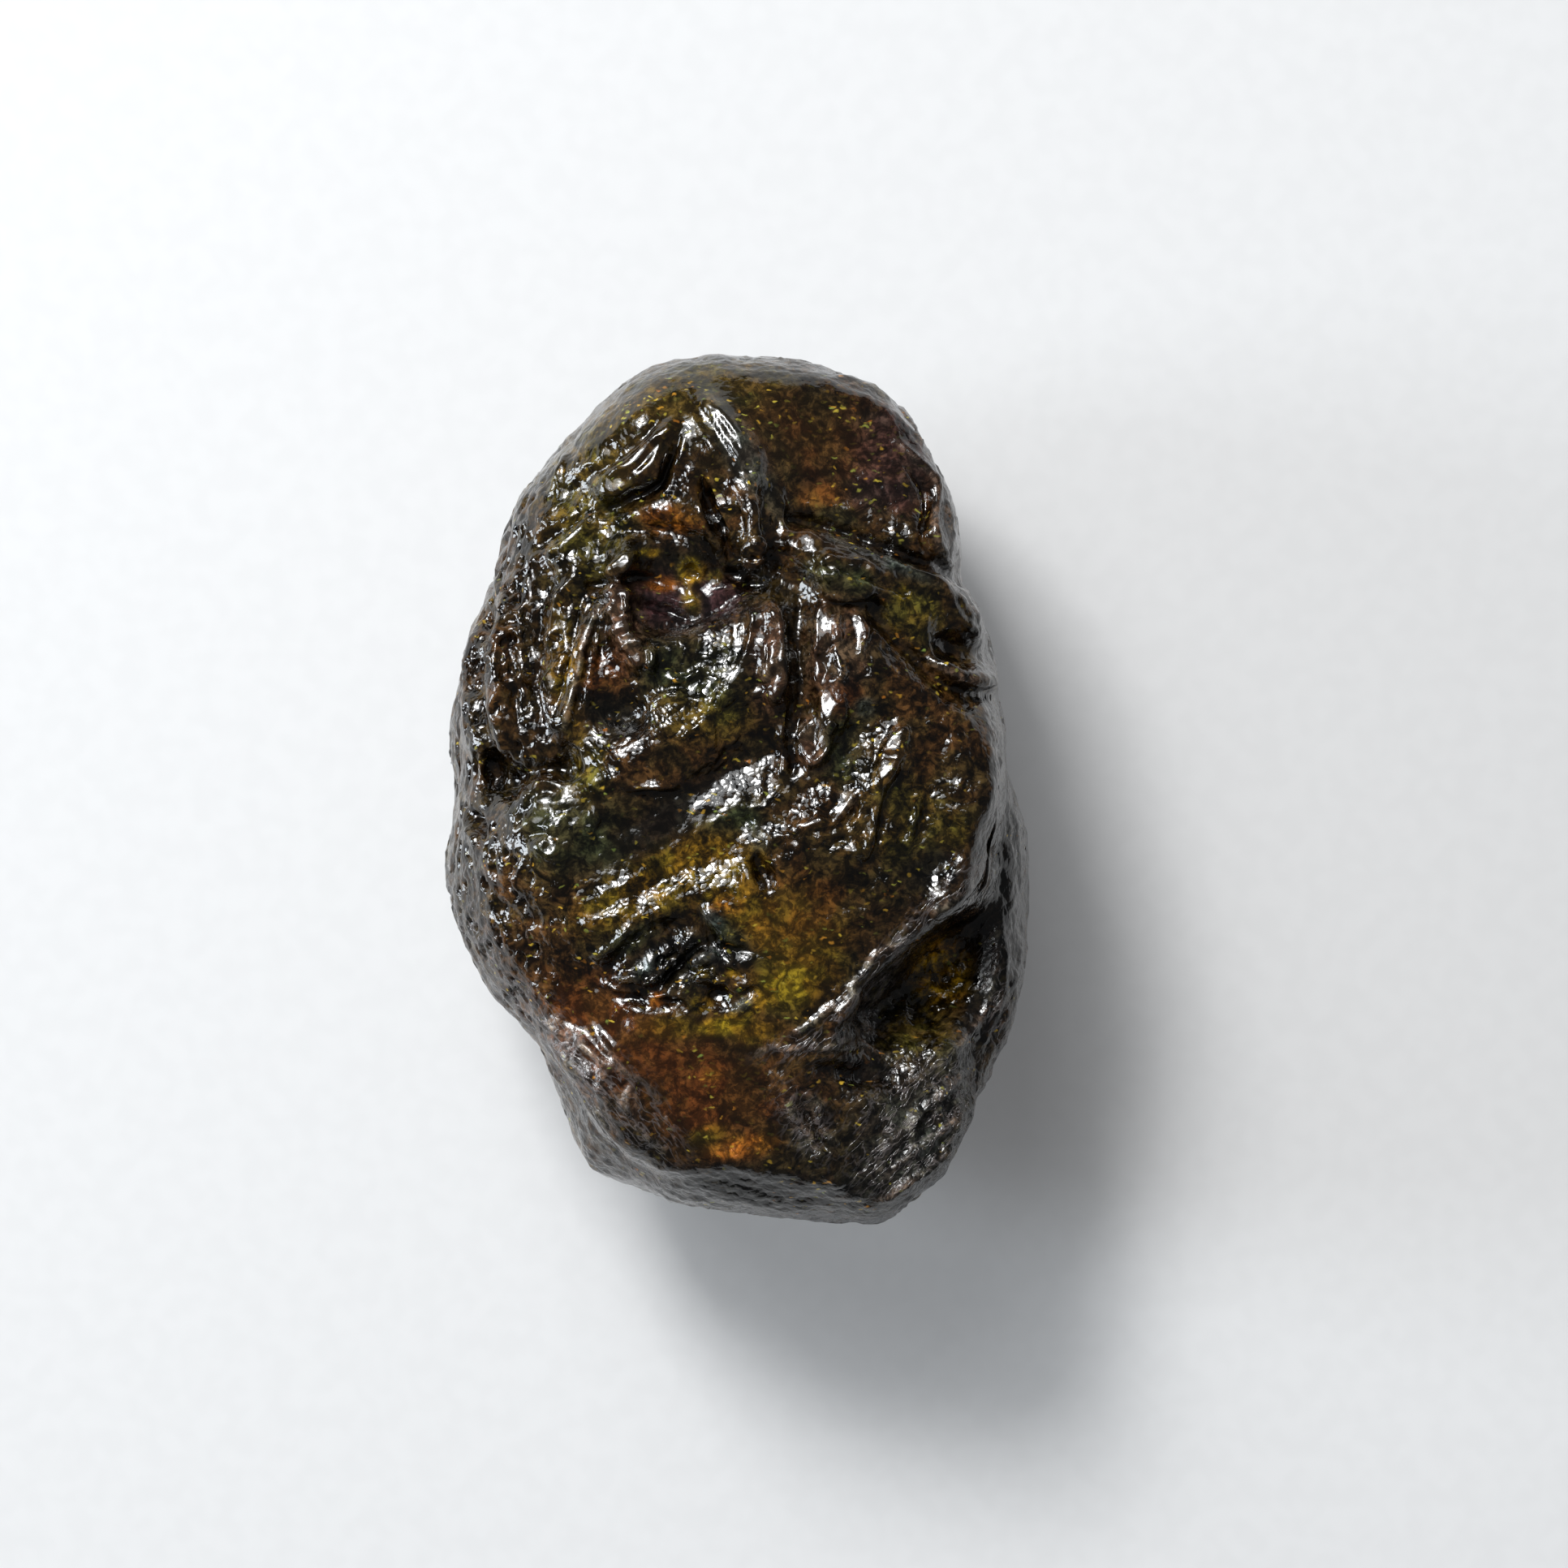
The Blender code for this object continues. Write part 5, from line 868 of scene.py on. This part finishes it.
def smooth_line(points, per_span=5):
    """A Catmull-Rom line through the points, each of which is x, y and a share."""
    given = np.array(points, float)
    padded = np.vstack([2 * given[0] - given[1], given, 2 * given[-1] - given[-2]])
    steps = np.linspace(0, 1, per_span, endpoint=False)[:, None]
    runs = []
    for before, start, end, after in zip(padded, padded[1:], padded[2:], padded[3:]):
        runs.append(0.5 * (2 * start + (end - before) * steps
                           + (2 * before - 5 * start + 4 * end - after) * steps ** 2
                           + (3 * start - before - 3 * end + after) * steps ** 3))
    return np.vstack(runs + [given[-1:]])


def nearest_on_line(places, line):
    """For each place: its distance to the line, and the line's share there."""
    nearest = np.full(len(places), np.inf)
    share = np.zeros(len(places))
    for start, end in zip(line, line[1:]):
        along = end[:2] - start[:2]
        offset = places - start[:2]
        part_way = np.clip(offset @ along / (along @ along), 0, 1)
        gap = np.hypot(*(offset - part_way[:, None] * along).T)
        closer = gap < nearest
        nearest[closer] = gap[closer]
        share[closer] = (start[2] + part_way * (end[2] - start[2]))[closer]
    return nearest, share


def smooth_step(value):
    ramp = np.clip(value, 0, 1)
    return ramp * ramp * (3 - 2 * ramp)


def ellipse_share(places, zone, power=1.5):
    """1 in the middle of a zone, falling to 0 past its half sizes, the more steeply for a higher power."""
    offset = places[:, :2] - zone.middle
    turn = math.radians(zone.turn)
    along_x = math.cos(turn)
    along_y = math.sin(turn)
    across = (offset[:, 0] * along_x + offset[:, 1] * along_y) / zone.half_sizes[0]
    up = (offset[:, 1] * along_x - offset[:, 0] * along_y) / zone.half_sizes[1]
    return np.exp(-(across ** 2 + up ** 2) ** power)


def grain(places, size, octaves=3, seed=0.0):
    """Soft noise between about -1 and 1, with features of this size in millimetres on each axis."""
    scaled = places / np.array(size) + seed
    return np.array([noise.fractal(Vector(p), 0.8, 2.1, octaves) for p in scaled])


def ridged(places, size, seed=0.0):
    """Noise with sharp crests near 1 and round hollows near 0."""
    scaled = places / np.array(size) + seed
    return np.array([1 - abs(noise.noise(Vector(p))) * 2 for p in scaled])


def cells(places, size, seed=0.0):
    """Distance to the nearest of scattered points, in cell sizes."""
    scaled = places / np.array(size) + seed
    return np.array([noise.voronoi(Vector(p))[0][0] for p in scaled])


def copy_of_solid():
    """A copy of the CAD node's surface, its points merged, as a new object."""
    deselect_all()
    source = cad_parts["amber_nodule"]
    mesh = source.data.copy()
    mesh.name = "amber_skin"
    mesh.materials.clear()
    skin = bpy.data.objects.new("amber_skin", mesh)
    bpy.context.scene.collection.objects.link(skin)
    make_active(skin)
    bpy.ops.object.mode_set(mode="EDIT")
    bpy.ops.mesh.select_all(action="SELECT")
    bpy.ops.mesh.remove_doubles(threshold=0.001 * MM)
    bpy.ops.object.mode_set(mode="OBJECT")
    return skin


def work_even(skin):
    """Gives the skin even, small squares, and smooths the facets of the solid away."""
    make_active(skin)
    squares = skin.modifiers.new("even_squares", "REMESH")
    squares.mode = "VOXEL"
    squares.voxel_size = SKIN_VOXEL * MM
    bpy.ops.object.modifier_apply(modifier=squares.name)
    soften = skin.modifiers.new("soften", "SMOOTH")
    soften.factor = 0.5
    soften.iterations = SKIN_SMOOTHING
    bpy.ops.object.modifier_apply(modifier=soften.name)


def split_upper_faces(skin):
    """Halves the squares of the face side, where the fine folds are."""
    make_active(skin)
    mesh = skin.data
    for face in mesh.polygons:
        face.select = face.normal.z > FINE_FACES_LOOK_UP
    bpy.ops.object.mode_set(mode="EDIT")
    bpy.ops.mesh.select_mode(type="FACE")
    bpy.ops.mesh.subdivide(number_cuts=1, smoothness=0.6)
    bpy.ops.object.mode_set(mode="OBJECT")


def facing_up(mesh):
    """1 where the skin looks up, falling to 0 past level."""
    return smooth_step((mesh_normals(mesh)[:, 2] + 0.1) / 0.4)


def ring_line(ring):
    """The closed line of a ring, with a full share all round."""
    turn = math.radians(ring.turn)
    points = []
    for angle in np.linspace(0, 2 * math.pi, 13):
        across = ring.half_sizes[0] * math.cos(angle)
        up = ring.half_sizes[1] * math.sin(angle)
        points.append((ring.middle[0] + across * math.cos(turn) - up * math.sin(turn),
                       ring.middle[1] + across * math.sin(turn) + up * math.cos(turn), 1.0))
    return points


def raise_swells(skin):
    mesh = skin.data
    places = mesh_points(mesh)
    rise = np.zeros(len(places))
    for zone in SWELLS.values():
        rise += zone.amount * ellipse_share(places, zone)
    places[:, 2] += rise * facing_up(mesh)
    set_points(mesh, places)


def near_fold(places, fold):
    """The places near a fold, each one's distance to its line, and the line's share there."""
    line = smooth_line(fold.line)
    reach = 2.5 * fold.width
    low = line[:, :2].min(0) - reach
    high = line[:, :2].max(0) + reach
    near = np.nonzero(np.all((places[:, :2] > low) & (places[:, :2] < high), axis=1))[0]
    gap, share = nearest_on_line(places[near, :2], line)
    return near, gap, share


def press_lines(skin, folds):
    """Raises ridges and presses grooves along named lines."""
    mesh = skin.data
    places = mesh_points(mesh)
    move = np.zeros(len(places))
    for fold in folds:
        near, gap, share = near_fold(places, fold)
        move[near] += fold.height * share * np.exp(-(gap / fold.width) ** 2)
    move *= facing_up(mesh)
    set_points(mesh, places + mesh_normals(mesh) * move[:, None])


def press_fine_folds(skin):
    press_lines(skin, ALL_FOLDS.values())
    press_lines(skin, [Fold(ring.height, ring.width, ring_line(ring)) for ring in RINGS.values()])


def even_grounds(skin):
    """Brings each broad ground towards a plane through its own mean height."""
    mesh = skin.data
    places = mesh_points(mesh)
    up = facing_up(mesh)
    for tilt in TILTS.values():
        near = np.nonzero(np.abs(places[:, :2] - tilt.middle).max(1) < 1.8 * max(tilt.half_sizes))[0]
        share = ellipse_share(places[near], tilt) * up[near]
        offset = places[near, :2] - tilt.middle
        plane = np.average(places[near, 2], weights=share) + offset @ np.array(tilt.lean)
        places[near, 2] += tilt.amount * share * (plane - places[near, 2])
    set_points(mesh, places)


def wear_flats(skin):
    """Wears the small flats level, each about its own mean height."""
    mesh = skin.data
    places = mesh_points(mesh)
    up = facing_up(mesh)
    for zone in FLATS.values():
        near = np.nonzero(np.abs(places[:, :2] - zone.middle).max(1) < 2.0 * max(zone.half_sizes))[0]
        share = ellipse_share(places[near], zone, power=2.5) * up[near]
        weight = share ** 2
        offset = places[near, :2] - zone.middle
        mean_height = (weight * places[near, 2]).sum() / weight.sum()
        level = mean_height + offset @ np.array(FLATS_LEAN)
        places[near, 2] += zone.amount * share * (level - places[near, 2])
    set_points(mesh, places)


def flats_share(places):
    share = np.zeros(len(places))
    for zone in FLATS.values():
        share = np.maximum(share, ellipse_share(places, zone))
    return share


def roughness_of_skin(places, up):
    """How strong the beaded grain is, from 0 on polished swells to about 1.7 on wrinkled ground."""
    amount = np.ones(len(places))
    for zone in ROUGH_ZONES.values():
        amount += zone.amount * ellipse_share(places, zone) * up
    return np.clip(amount, 0.25, 1.8)


def grain_of_skin(places, up):
    """Low swells, beads and short wrinkles, with fine lengthwise fibres on the flats."""
    worn = flats_share(places) * up
    strength = roughness_of_skin(places, up) * (1 - 0.8 * worn)
    swells = grain(places, (1.25, 1.25, 1.25), octaves=3, seed=3.1)
    beads = cells(places, (0.46, 0.52, 0.46), seed=6.2)
    wrinkles = ridged(places, (0.9, 1.5, 1.1), seed=8.4)
    fibres = ridged(places, (0.42, 1.7, 0.9), seed=12.3)
    relief = GRAIN_SWELL * swells + GRAIN_BEAD * (0.5 - beads) + GRAIN_WRINKLE * wrinkles * wrinkles
    return strength * relief + FLAT_FIBRE * worn * (fibres - 0.5)


def flank_pits(places):
    """Pits along the left flank, drawn out lengthwise."""
    flank = smooth_step((-places[:, 0] - 7.6) / 2.0) * smooth_step((places[:, 1] + 12.5) / 2.0)
    pits = cells(places, (0.55, 1.15, 0.7), seed=1.7)
    return PIT_DEPTH * flank * smooth_step((0.38 - pits) / 0.20)


def side_pits(places, up):
    """Small pits and creases over the sides and the back."""
    hollows = cells(places, (1.5, 1.8, 1.5), seed=5.2)
    creases = ridged(places, (3.4, 4.2, 3.0), seed=2.6)
    pits = PIT_DEPTH * smooth_step((0.34 - hollows) / 0.25)
    return (1 - up) * (pits + CREASE_DEPTH * smooth_step((creases - 0.82) / 0.18))


def raise_grain(skin):
    """The fine relief of the whole skin."""
    mesh = skin.data
    places = mesh_points(mesh)
    up = facing_up(mesh)
    move = grain_of_skin(places, up) - flank_pits(places) - side_pits(places, up)
    set_points(mesh, places + mesh_normals(mesh) * move[:, None])


def flatten_rest_spot(skin):
    """The spot that the nodule lies on is level, and nothing goes below the floor."""
    mesh = skin.data
    places = mesh_points(mesh)
    places[:, 2] = np.where(places[:, 2] < REST_SPOT_HEIGHT, 0.0, places[:, 2])
    set_points(mesh, places)


def neighbour_mean(values, edges, rounds):
    """Each value replaced by the mean of its neighbours' values, this many times."""
    count = np.bincount(edges.ravel(), minlength=len(values)).astype(float)
    for _ in range(rounds):
        total = np.zeros_like(values)
        np.add.at(total, edges[:, 0], values[edges[:, 1]])
        np.add.at(total, edges[:, 1], values[edges[:, 0]])
        values = total / count[:, None]
    return values


def store_beading(skin):
    """Keeps how wrinkled the skin is, for the finest relief in the material."""
    places = mesh_points(skin.data)
    up = facing_up(skin.data)
    store(skin.data, "beading", roughness_of_skin(places, up) * (1 - 0.75 * flats_share(places) * up))


# Keeps where horny fibres lie, for roughness, bump and a painted pale sheen.
def store_horn_and_sheen(skin):
    places = mesh_points(skin.data)
    amount = np.zeros(len(places))
    for zone in HORN_AND_SHEEN_ZONES.values():
        amount = np.maximum(amount, zone.amount * ellipse_share(places, zone))
    store(skin.data, "horn_and_sheen", amount * facing_up(skin.data))


def store_flecks(skin):
    places = mesh_points(skin.data)
    up = facing_up(skin.data)
    amount = np.full(len(places), 0.25)
    for zone in FLECK_ZONES.values():
        amount += zone.amount * ellipse_share(places, zone) * up
    store(skin.data, "flecks", np.clip(amount, 0, 1))


def store_cavity(skin):
    """Keeps how far each point stands above (+) or lies below (-) its surroundings, in millimetres."""
    mesh = skin.data
    places = mesh_points(mesh)
    edges = np.empty(len(mesh.edges) * 2, int)
    mesh.edges.foreach_get("vertices", edges)
    settled = neighbour_mean(places, edges.reshape(-1, 2), 12)
    height = ((places - settled) * mesh_normals(mesh)).sum(1)
    store(mesh, "relief", height)


def store(mesh, name, values):
    layer = mesh.attributes.new(name, "FLOAT", "POINT")
    layer.data.foreach_set("value", values.astype(np.float32))


def store_stains_and_painted_light(skin):
    """Paints the face's stains, painted shade and sheen, and scattered stains on the sides and back, into a
    colour attribute.
    """
    mesh = skin.data
    places = mesh_points(mesh)
    up = facing_up(mesh)
    ragged = 1 + 0.55 * grain(places, (0.9, 0.9, 0.9), octaves=2, seed=6.6)
    colour = np.tile(np.array(PLAIN_AMBER), (len(places), 1))
    for stain_and_painted_light in STAINS_AND_PAINTED_LIGHT.values():
        share = ellipse_share(places, stain_and_painted_light) * up * ragged
        share = np.clip(share * 1.25, 0, 1) * stain_and_painted_light.amount
        colour += share[:, None] * (np.array(PAINTS[stain_and_painted_light.paint]) - colour)
    # Painted pale sheen along the crests of these folds.
    for name in SHEEN_CREST_FOLDS:
        near, gap, share = near_fold(places, ALL_FOLDS[name])
        amount = 0.6 * share * up[near] * np.exp(-(gap / 0.13) ** 2) * np.clip(ragged[near], 0.4, 1)
        colour[near] += amount[:, None] * (np.array(PAINTS["painted_pale_sheen"]) - colour[near])
    around = 1 - up
    for paint, size, seed, start in (("brown", 4.2, 1.1, 0.0), ("olive", 3.1, 4.7, 0.1),
                                     ("gold", 2.3, 7.9, 0.25), ("rust", 3.6, 9.3, 0.15)):
        patch = smooth_step((grain(places, (size, size, size), octaves=3, seed=seed) - start) / 0.35)
        colour += (0.75 * around * patch)[:, None] * (np.array(PAINTS[paint]) - colour)
    layer = mesh.attributes.new("stain_and_painted_light", "FLOAT_COLOR", "POINT")
    rgba = np.column_stack([colour, np.ones(len(colour))]).astype(np.float32)
    layer.data.foreach_set("color", rgba.ravel())


class Board:
    """Adds nodes to a material and links them, one at a time."""

    def __init__(self, material):
        material.use_nodes = True
        self.nodes = material.node_tree.nodes
        self.links = material.node_tree.links
        self.nodes.clear()

    def add(self, kind, name, inputs=None, **settings):
        node = self.nodes.new(kind)
        node.name = name
        node.label = name
        for key, value in settings.items():
            setattr(node, key, value)
        for socket, value in (inputs or {}).items():
            if isinstance(value, bpy.types.NodeSocket):
                self.links.new(value, node.inputs[socket])
            else:
                node.inputs[socket].default_value = value
        return node

    def object_place(self):
        """Where a point of the piece is, in metres."""
        return self.add("ShaderNodeTexCoord", "place").outputs["Object"]

    def kept(self, name, output="Fac"):
        """An attribute that is kept in the mesh."""
        return self.add("ShaderNodeAttribute", name, attribute_name=name).outputs[output]

    def ramp(self, name, value, low, high, to_low=0.0, to_high=1.0):
        """value between low and high, brought to between to_low and to_high, as a soft step."""
        node = self.add("ShaderNodeMapRange", name, {
            "Value": value, "From Min": low, "From Max": high, "To Min": to_low, "To Max": to_high,
        }, interpolation_type="SMOOTHSTEP")
        return node.outputs["Result"]

    def math(self, name, operation, first, second, third=0.0):
        node = self.add("ShaderNodeMath", name, {0: first, 1: second, 2: third}, operation=operation)
        return node.outputs["Value"]

    def mix(self, name, share, first, second, blend="MIX"):
        """Two colours mixed. A mix node has its share and its two colours on sockets 0, 6 and 7."""
        node = self.add("ShaderNodeMix", name, data_type="RGBA", blend_type=blend)
        for socket, value in ((0, share), (6, first), (7, second)):
            if isinstance(value, bpy.types.NodeSocket):
                self.links.new(value, node.inputs[socket])
            else:
                node.inputs[socket].default_value = value
        return node.outputs[2]

    def grey(self, name, level):
        node = self.add("ShaderNodeCombineColor", name, {"Red": level, "Green": level, "Blue": level})
        return node.outputs["Color"]

    def noise(self, name, place, scale, detail, roughness=0.5, distortion=0.0, output="Fac"):
        node = self.add("ShaderNodeTexNoise", name, {
            "Vector": place, "Scale": scale, "Detail": detail,
            "Roughness": roughness, "Distortion": distortion,
        })
        return node.outputs[output]

    def cells(self, name, place, scale):
        return self.add("ShaderNodeTexVoronoi", name, {
            "Vector": place, "Scale": scale, "Randomness": 1.0,
        })

    def bent_place(self, name, place, bend, scale):
        """The place, pushed about by this many metres at most, so that cells lose their round shape."""
        push = self.noise(name + "_push", place, scale, 1.0, output="Color")
        return self.mix(name, bend, place, push, "ADD")


def mottled_body(board, place, blotch):
    """The stains and painted shade and sheen, broken into light and dark blotches, some warmer and some
    greener.
    """
    patch = board.noise("patch", place, 3100.0, 3.0, 0.62, 0.5)
    blotch_light = board.ramp("blotch_light", blotch, 0.38, 0.66, 0.14, 1.90)
    patch_light = board.ramp("patch_light", patch, 0.42, 0.60, 0.42, 1.60)
    light = board.grey("light", board.math("light_level", "MULTIPLY", blotch_light, patch_light))
    mottled = board.ramp("mottled", board.kept("beading"), 0.3, 1.1, 0.75, 1.0)
    lit = board.mix("lit", mottled, board.kept("stain_and_painted_light", "Color"), light, "MULTIPLY")
    hue_share = board.ramp("hue_share", board.noise("hue", place, 640.0, 2.0, 0.6), 0.42, 0.60)
    tint = board.mix("tint", hue_share, WARM_TINT, GREEN_TINT)
    return board.mix("body", 1.0, lit, tint, "MULTIPLY")


def add_flecks(board, place, colour):
    """Lays scattered flecks of orange, gold and green over a colour."""
    bent = board.bent_place("bent", place, 0.0004, 3000.0)
    drawn_out = board.add("ShaderNodeMapping", "drawn_out", {
        "Vector": bent, "Rotation": (0, 0, 0.6), "Scale": (0.55, 1.1, 1.0),
    })
    fleck = board.cells("fleck", drawn_out.outputs["Vector"], 4200.0)
    pick = board.add("ShaderNodeSeparateColor", "fleck_pick", {"Color": fleck.outputs["Color"]})
    near = board.ramp("fleck_near", fleck.outputs["Distance"], 0.42, 0.15)
    chance = board.math("fleck_chance", "MULTIPLY_ADD", board.kept("flecks"), 0.45, -0.54)
    drawn = board.math("fleck_drawn", "ADD", pick.outputs["Red"], chance)
    kept = board.ramp("fleck_kept", drawn, 0.35, 0.50, 0.0, 0.9)
    cluster = board.noise("cluster", place, 420.0, 2.0, 0.6)
    cluster_share = board.ramp("cluster_share", cluster, 0.45, 0.65, 0.05, 1.0)
    here = board.math("fleck_here", "MULTIPLY", near, kept)
    amount = board.math("fleck_amount", "MULTIPLY", here, cluster_share)
    choice = board.add("ShaderNodeValToRGB", "fleck_colour", {"Fac": pick.outputs["Green"]})
    stops = choice.color_ramp.elements
    stops[0].color = FLECK_ORANGE
    stops[1].color = FLECK_GREEN
    middle = stops.new(0.5)
    middle.color = FLECK_GOLD
    return board.mix("with_flecks", amount, colour, choice.outputs["Color"])


def fibres_and_sheen(board, place):
    """Where the fibres lie, as a bump and a painted pale sheen. They fall to the left on the right half and
    to the right on the left.
    """
    across = board.add("ShaderNodeSeparateXYZ", "across", {"Vector": place}).outputs["X"]
    fibre_turn = board.ramp("fibre_turn", across, -0.0005, 0.0005, 0.87, -0.80)
    turned = board.add("ShaderNodeVectorRotate", "turned", {
        "Vector": place, "Angle": fibre_turn}, rotation_type="Z_AXIS")
    stretched = board.add("ShaderNodeMapping", "stretched", {
        "Vector": turned.outputs["Vector"], "Scale": (0.3, 1.0, 1.0)})
    fibre_noise = board.noise("fibre_noise", stretched.outputs["Vector"], 2300.0, 2.0, 0.6, 0.4)
    fibre_level = board.math("fibre_level", "SUBTRACT", fibre_noise, 0.5)
    fibre_gap = board.math("fibre_gap", "ABSOLUTE", fibre_level, 0.0)
    fibre = board.ramp("fibre", fibre_gap, 0.05, 0.0)
    return board.math("fibre_here", "MULTIPLY", fibre, board.kept("horn_and_sheen"))


def beaded_relief(board, place, fibres):
    """The finest beads and ripples of the skin, too small for the mesh, as a bump."""
    wavy = board.bent_place("wavy", place, 0.00012, 2500.0)
    distance = board.cells("bead", wavy, 4300.0).outputs["Distance"]
    bead_round = board.math("bead_round", "MULTIPLY", distance, distance)
    ripple = board.noise("ripple", place, 2100.0, 2.0, 0.6)
    raised = board.math("raised", "ADD", ripple, fibres)
    height = board.math("bead_high", "SUBTRACT", raised, bead_round)
    depth = board.math("bead_depth", "MULTIPLY", board.kept("beading"), BEAD_DEPTH)
    bump = board.add("ShaderNodeBump", "bump", {"Strength": 1.0, "Distance": depth, "Height": height})
    return bump.outputs["Normal"]


def amber_material():
    """Wet-looking dark amber: stained blotches with painted shade and sheen, bright flecks, a fine beaded
    gloss and a see-through body.
    """
    material = bpy.data.materials.new("dark_amber")
    board = Board(material)
    place = board.object_place()
    blotch = board.noise("blotch", place, 1150.0, 4.0, 0.66, 0.9)
    fibres = fibres_and_sheen(board, place)
    flecked = add_flecks(board, place, mottled_body(board, place, blotch))
    # Painted pale sheen on the fibres.
    fibre_share = board.math("fibre_share", "MULTIPLY", fibres, 0.85)
    with_fibre_sheen = board.mix("with_fibre_sheen", fibre_share, flecked, FIBRE_SHEEN_COLOUR)
    # Painted shade: the colour is darkened where the skin lies below its surroundings.
    hollow_shade = board.ramp("hollow_shade", board.kept("relief"), -0.30, 0.05, 0.35, 1.0)
    colour = board.mix("colour", 1.0, with_fibre_sheen, board.grey("painted_hollow_shade", hollow_shade), "MULTIPLY")
    wear = board.ramp("wear", blotch, 0.3, 0.75, 0.06, 0.18)
    horn_wear = board.math("horn_wear", "MULTIPLY", board.kept("horn_and_sheen"), 0.24)
    shader = board.add("ShaderNodeBsdfPrincipled", "amber", {
        "Base Color": colour,
        "Roughness": board.math("gloss", "ADD", wear, horn_wear),
        "IOR": AMBER_IOR,
        "Specular IOR Level": AMBER_SPECULAR,
        "Transmission Weight": AMBER_TRANSMISSION,
        "Normal": beaded_relief(board, place, fibres),
    })
    depth = board.add("ShaderNodeVolumeAbsorption", "depth", {
        "Color": AMBER_DEPTH_COLOUR, "Density": AMBER_DEPTH_DENSITY,
    })
    output = board.add("ShaderNodeOutputMaterial", "output")
    board.links.new(shader.outputs["BSDF"], output.inputs["Surface"])
    board.links.new(depth.outputs["Volume"], output.inputs["Volume"])
    return material


def make_skin():
    skin = copy_of_solid()
    work_even(skin)
    split_upper_faces(skin)
    even_grounds(skin)
    raise_swells(skin)
    press_fine_folds(skin)
    wear_flats(skin)
    press_lines(skin, CUTS.values())
    raise_grain(skin)
    flatten_rest_spot(skin)
    store_cavity(skin)
    store_beading(skin)
    store_horn_and_sheen(skin)
    store_flecks(skin)
    store_stains_and_painted_light(skin)
    skin.data.materials.append(amber_material())
    make_active(skin)
    bpy.ops.object.shade_smooth()
    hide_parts("amber_nodule")
    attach(skin, "root")


def floor_material():
    material = bpy.data.materials.new("pale_floor")
    board = Board(material)
    tooth = board.noise("tooth", board.object_place(), 900.0, 1.0)
    shade = board.ramp("shade", tooth, 0.3, 0.7, 0.498, 0.512)
    shader = board.add("ShaderNodeBsdfPrincipled", "floor", {
        "Base Color": board.grey("tone", shade), "Roughness": 0.9, "Specular IOR Level": 0.2,
        "Emission Color": (0.97, 0.98, 1.0, 1), "Emission Strength": 0.11,
    })
    output = board.add("ShaderNodeOutputMaterial", "output")
    board.links.new(shader.outputs["BSDF"], output.inputs["Surface"])
    return material


def make_floor():
    deselect_all()
    bpy.ops.mesh.primitive_plane_add(size=2.4, location=(0, 0, 0))
    floor = bpy.context.object
    floor.name = "pale_floor"
    floor.data.materials.append(floor_material())


def aim(obj, place, target):
    obj.location = place
    obj.rotation_euler = (Vector(target) - Vector(place)).to_track_quat("-Z", "Y").to_euler()


def softbox(name, place, size, power, colour=(1, 1, 1)):
    """A rectangular soft light, aimed at the nodule. Places and sizes are metres."""
    light = bpy.data.lights.new(name, "AREA")
    light.shape = "RECTANGLE"
    light.size, light.size_y = size
    light.energy = power
    light.color = colour
    holder = bpy.data.objects.new(name, light)
    bpy.context.scene.collection.objects.link(holder)
    aim(holder, place, (0, 0, 0.01))
    holder.visible_camera = False


def light_the_scene():
    softbox("key", (-0.16, 0.26, 0.36), (0.13, 0.13), 2.3)
    softbox("sheet", (-0.26, 0.42, 0.58), (0.50, 0.50), 3.6, (0.95, 0.98, 1.0))
    softbox("left_strip", (-0.38, 0.02, 0.08), (0.12, 0.30), 2.0, (0.86, 0.93, 1.0))
    world = bpy.data.worlds.new("soft_room")
    bpy.context.scene.world = world
    world.use_nodes = True
    back = world.node_tree.nodes["Background"]
    back.inputs["Color"].default_value = (0.93, 0.96, 1.0, 1)
    back.inputs["Strength"].default_value = 0.12


def place_camera():
    data = bpy.data.cameras.new("camera")
    camera = bpy.data.objects.new("camera", data)
    bpy.context.scene.collection.objects.link(camera)
    data.sensor_width = SENSOR_WIDTH
    data.lens = SENSOR_WIDTH * CAMERA_DISTANCE / PICTURE_WIDTH
    data.clip_start = 0.01
    camera.location = (PICTURE_MIDDLE[0] * MM, PICTURE_MIDDLE[1] * MM,
                       (CAMERA_AIMS_AT_HEIGHT + CAMERA_DISTANCE) * MM)
    bpy.context.scene.camera = camera


def set_the_stage():
    make_floor()
    light_the_scene()
    place_camera()
    bpy.context.scene.view_settings.view_transform = "Standard"


make_skin()
set_the_stage()
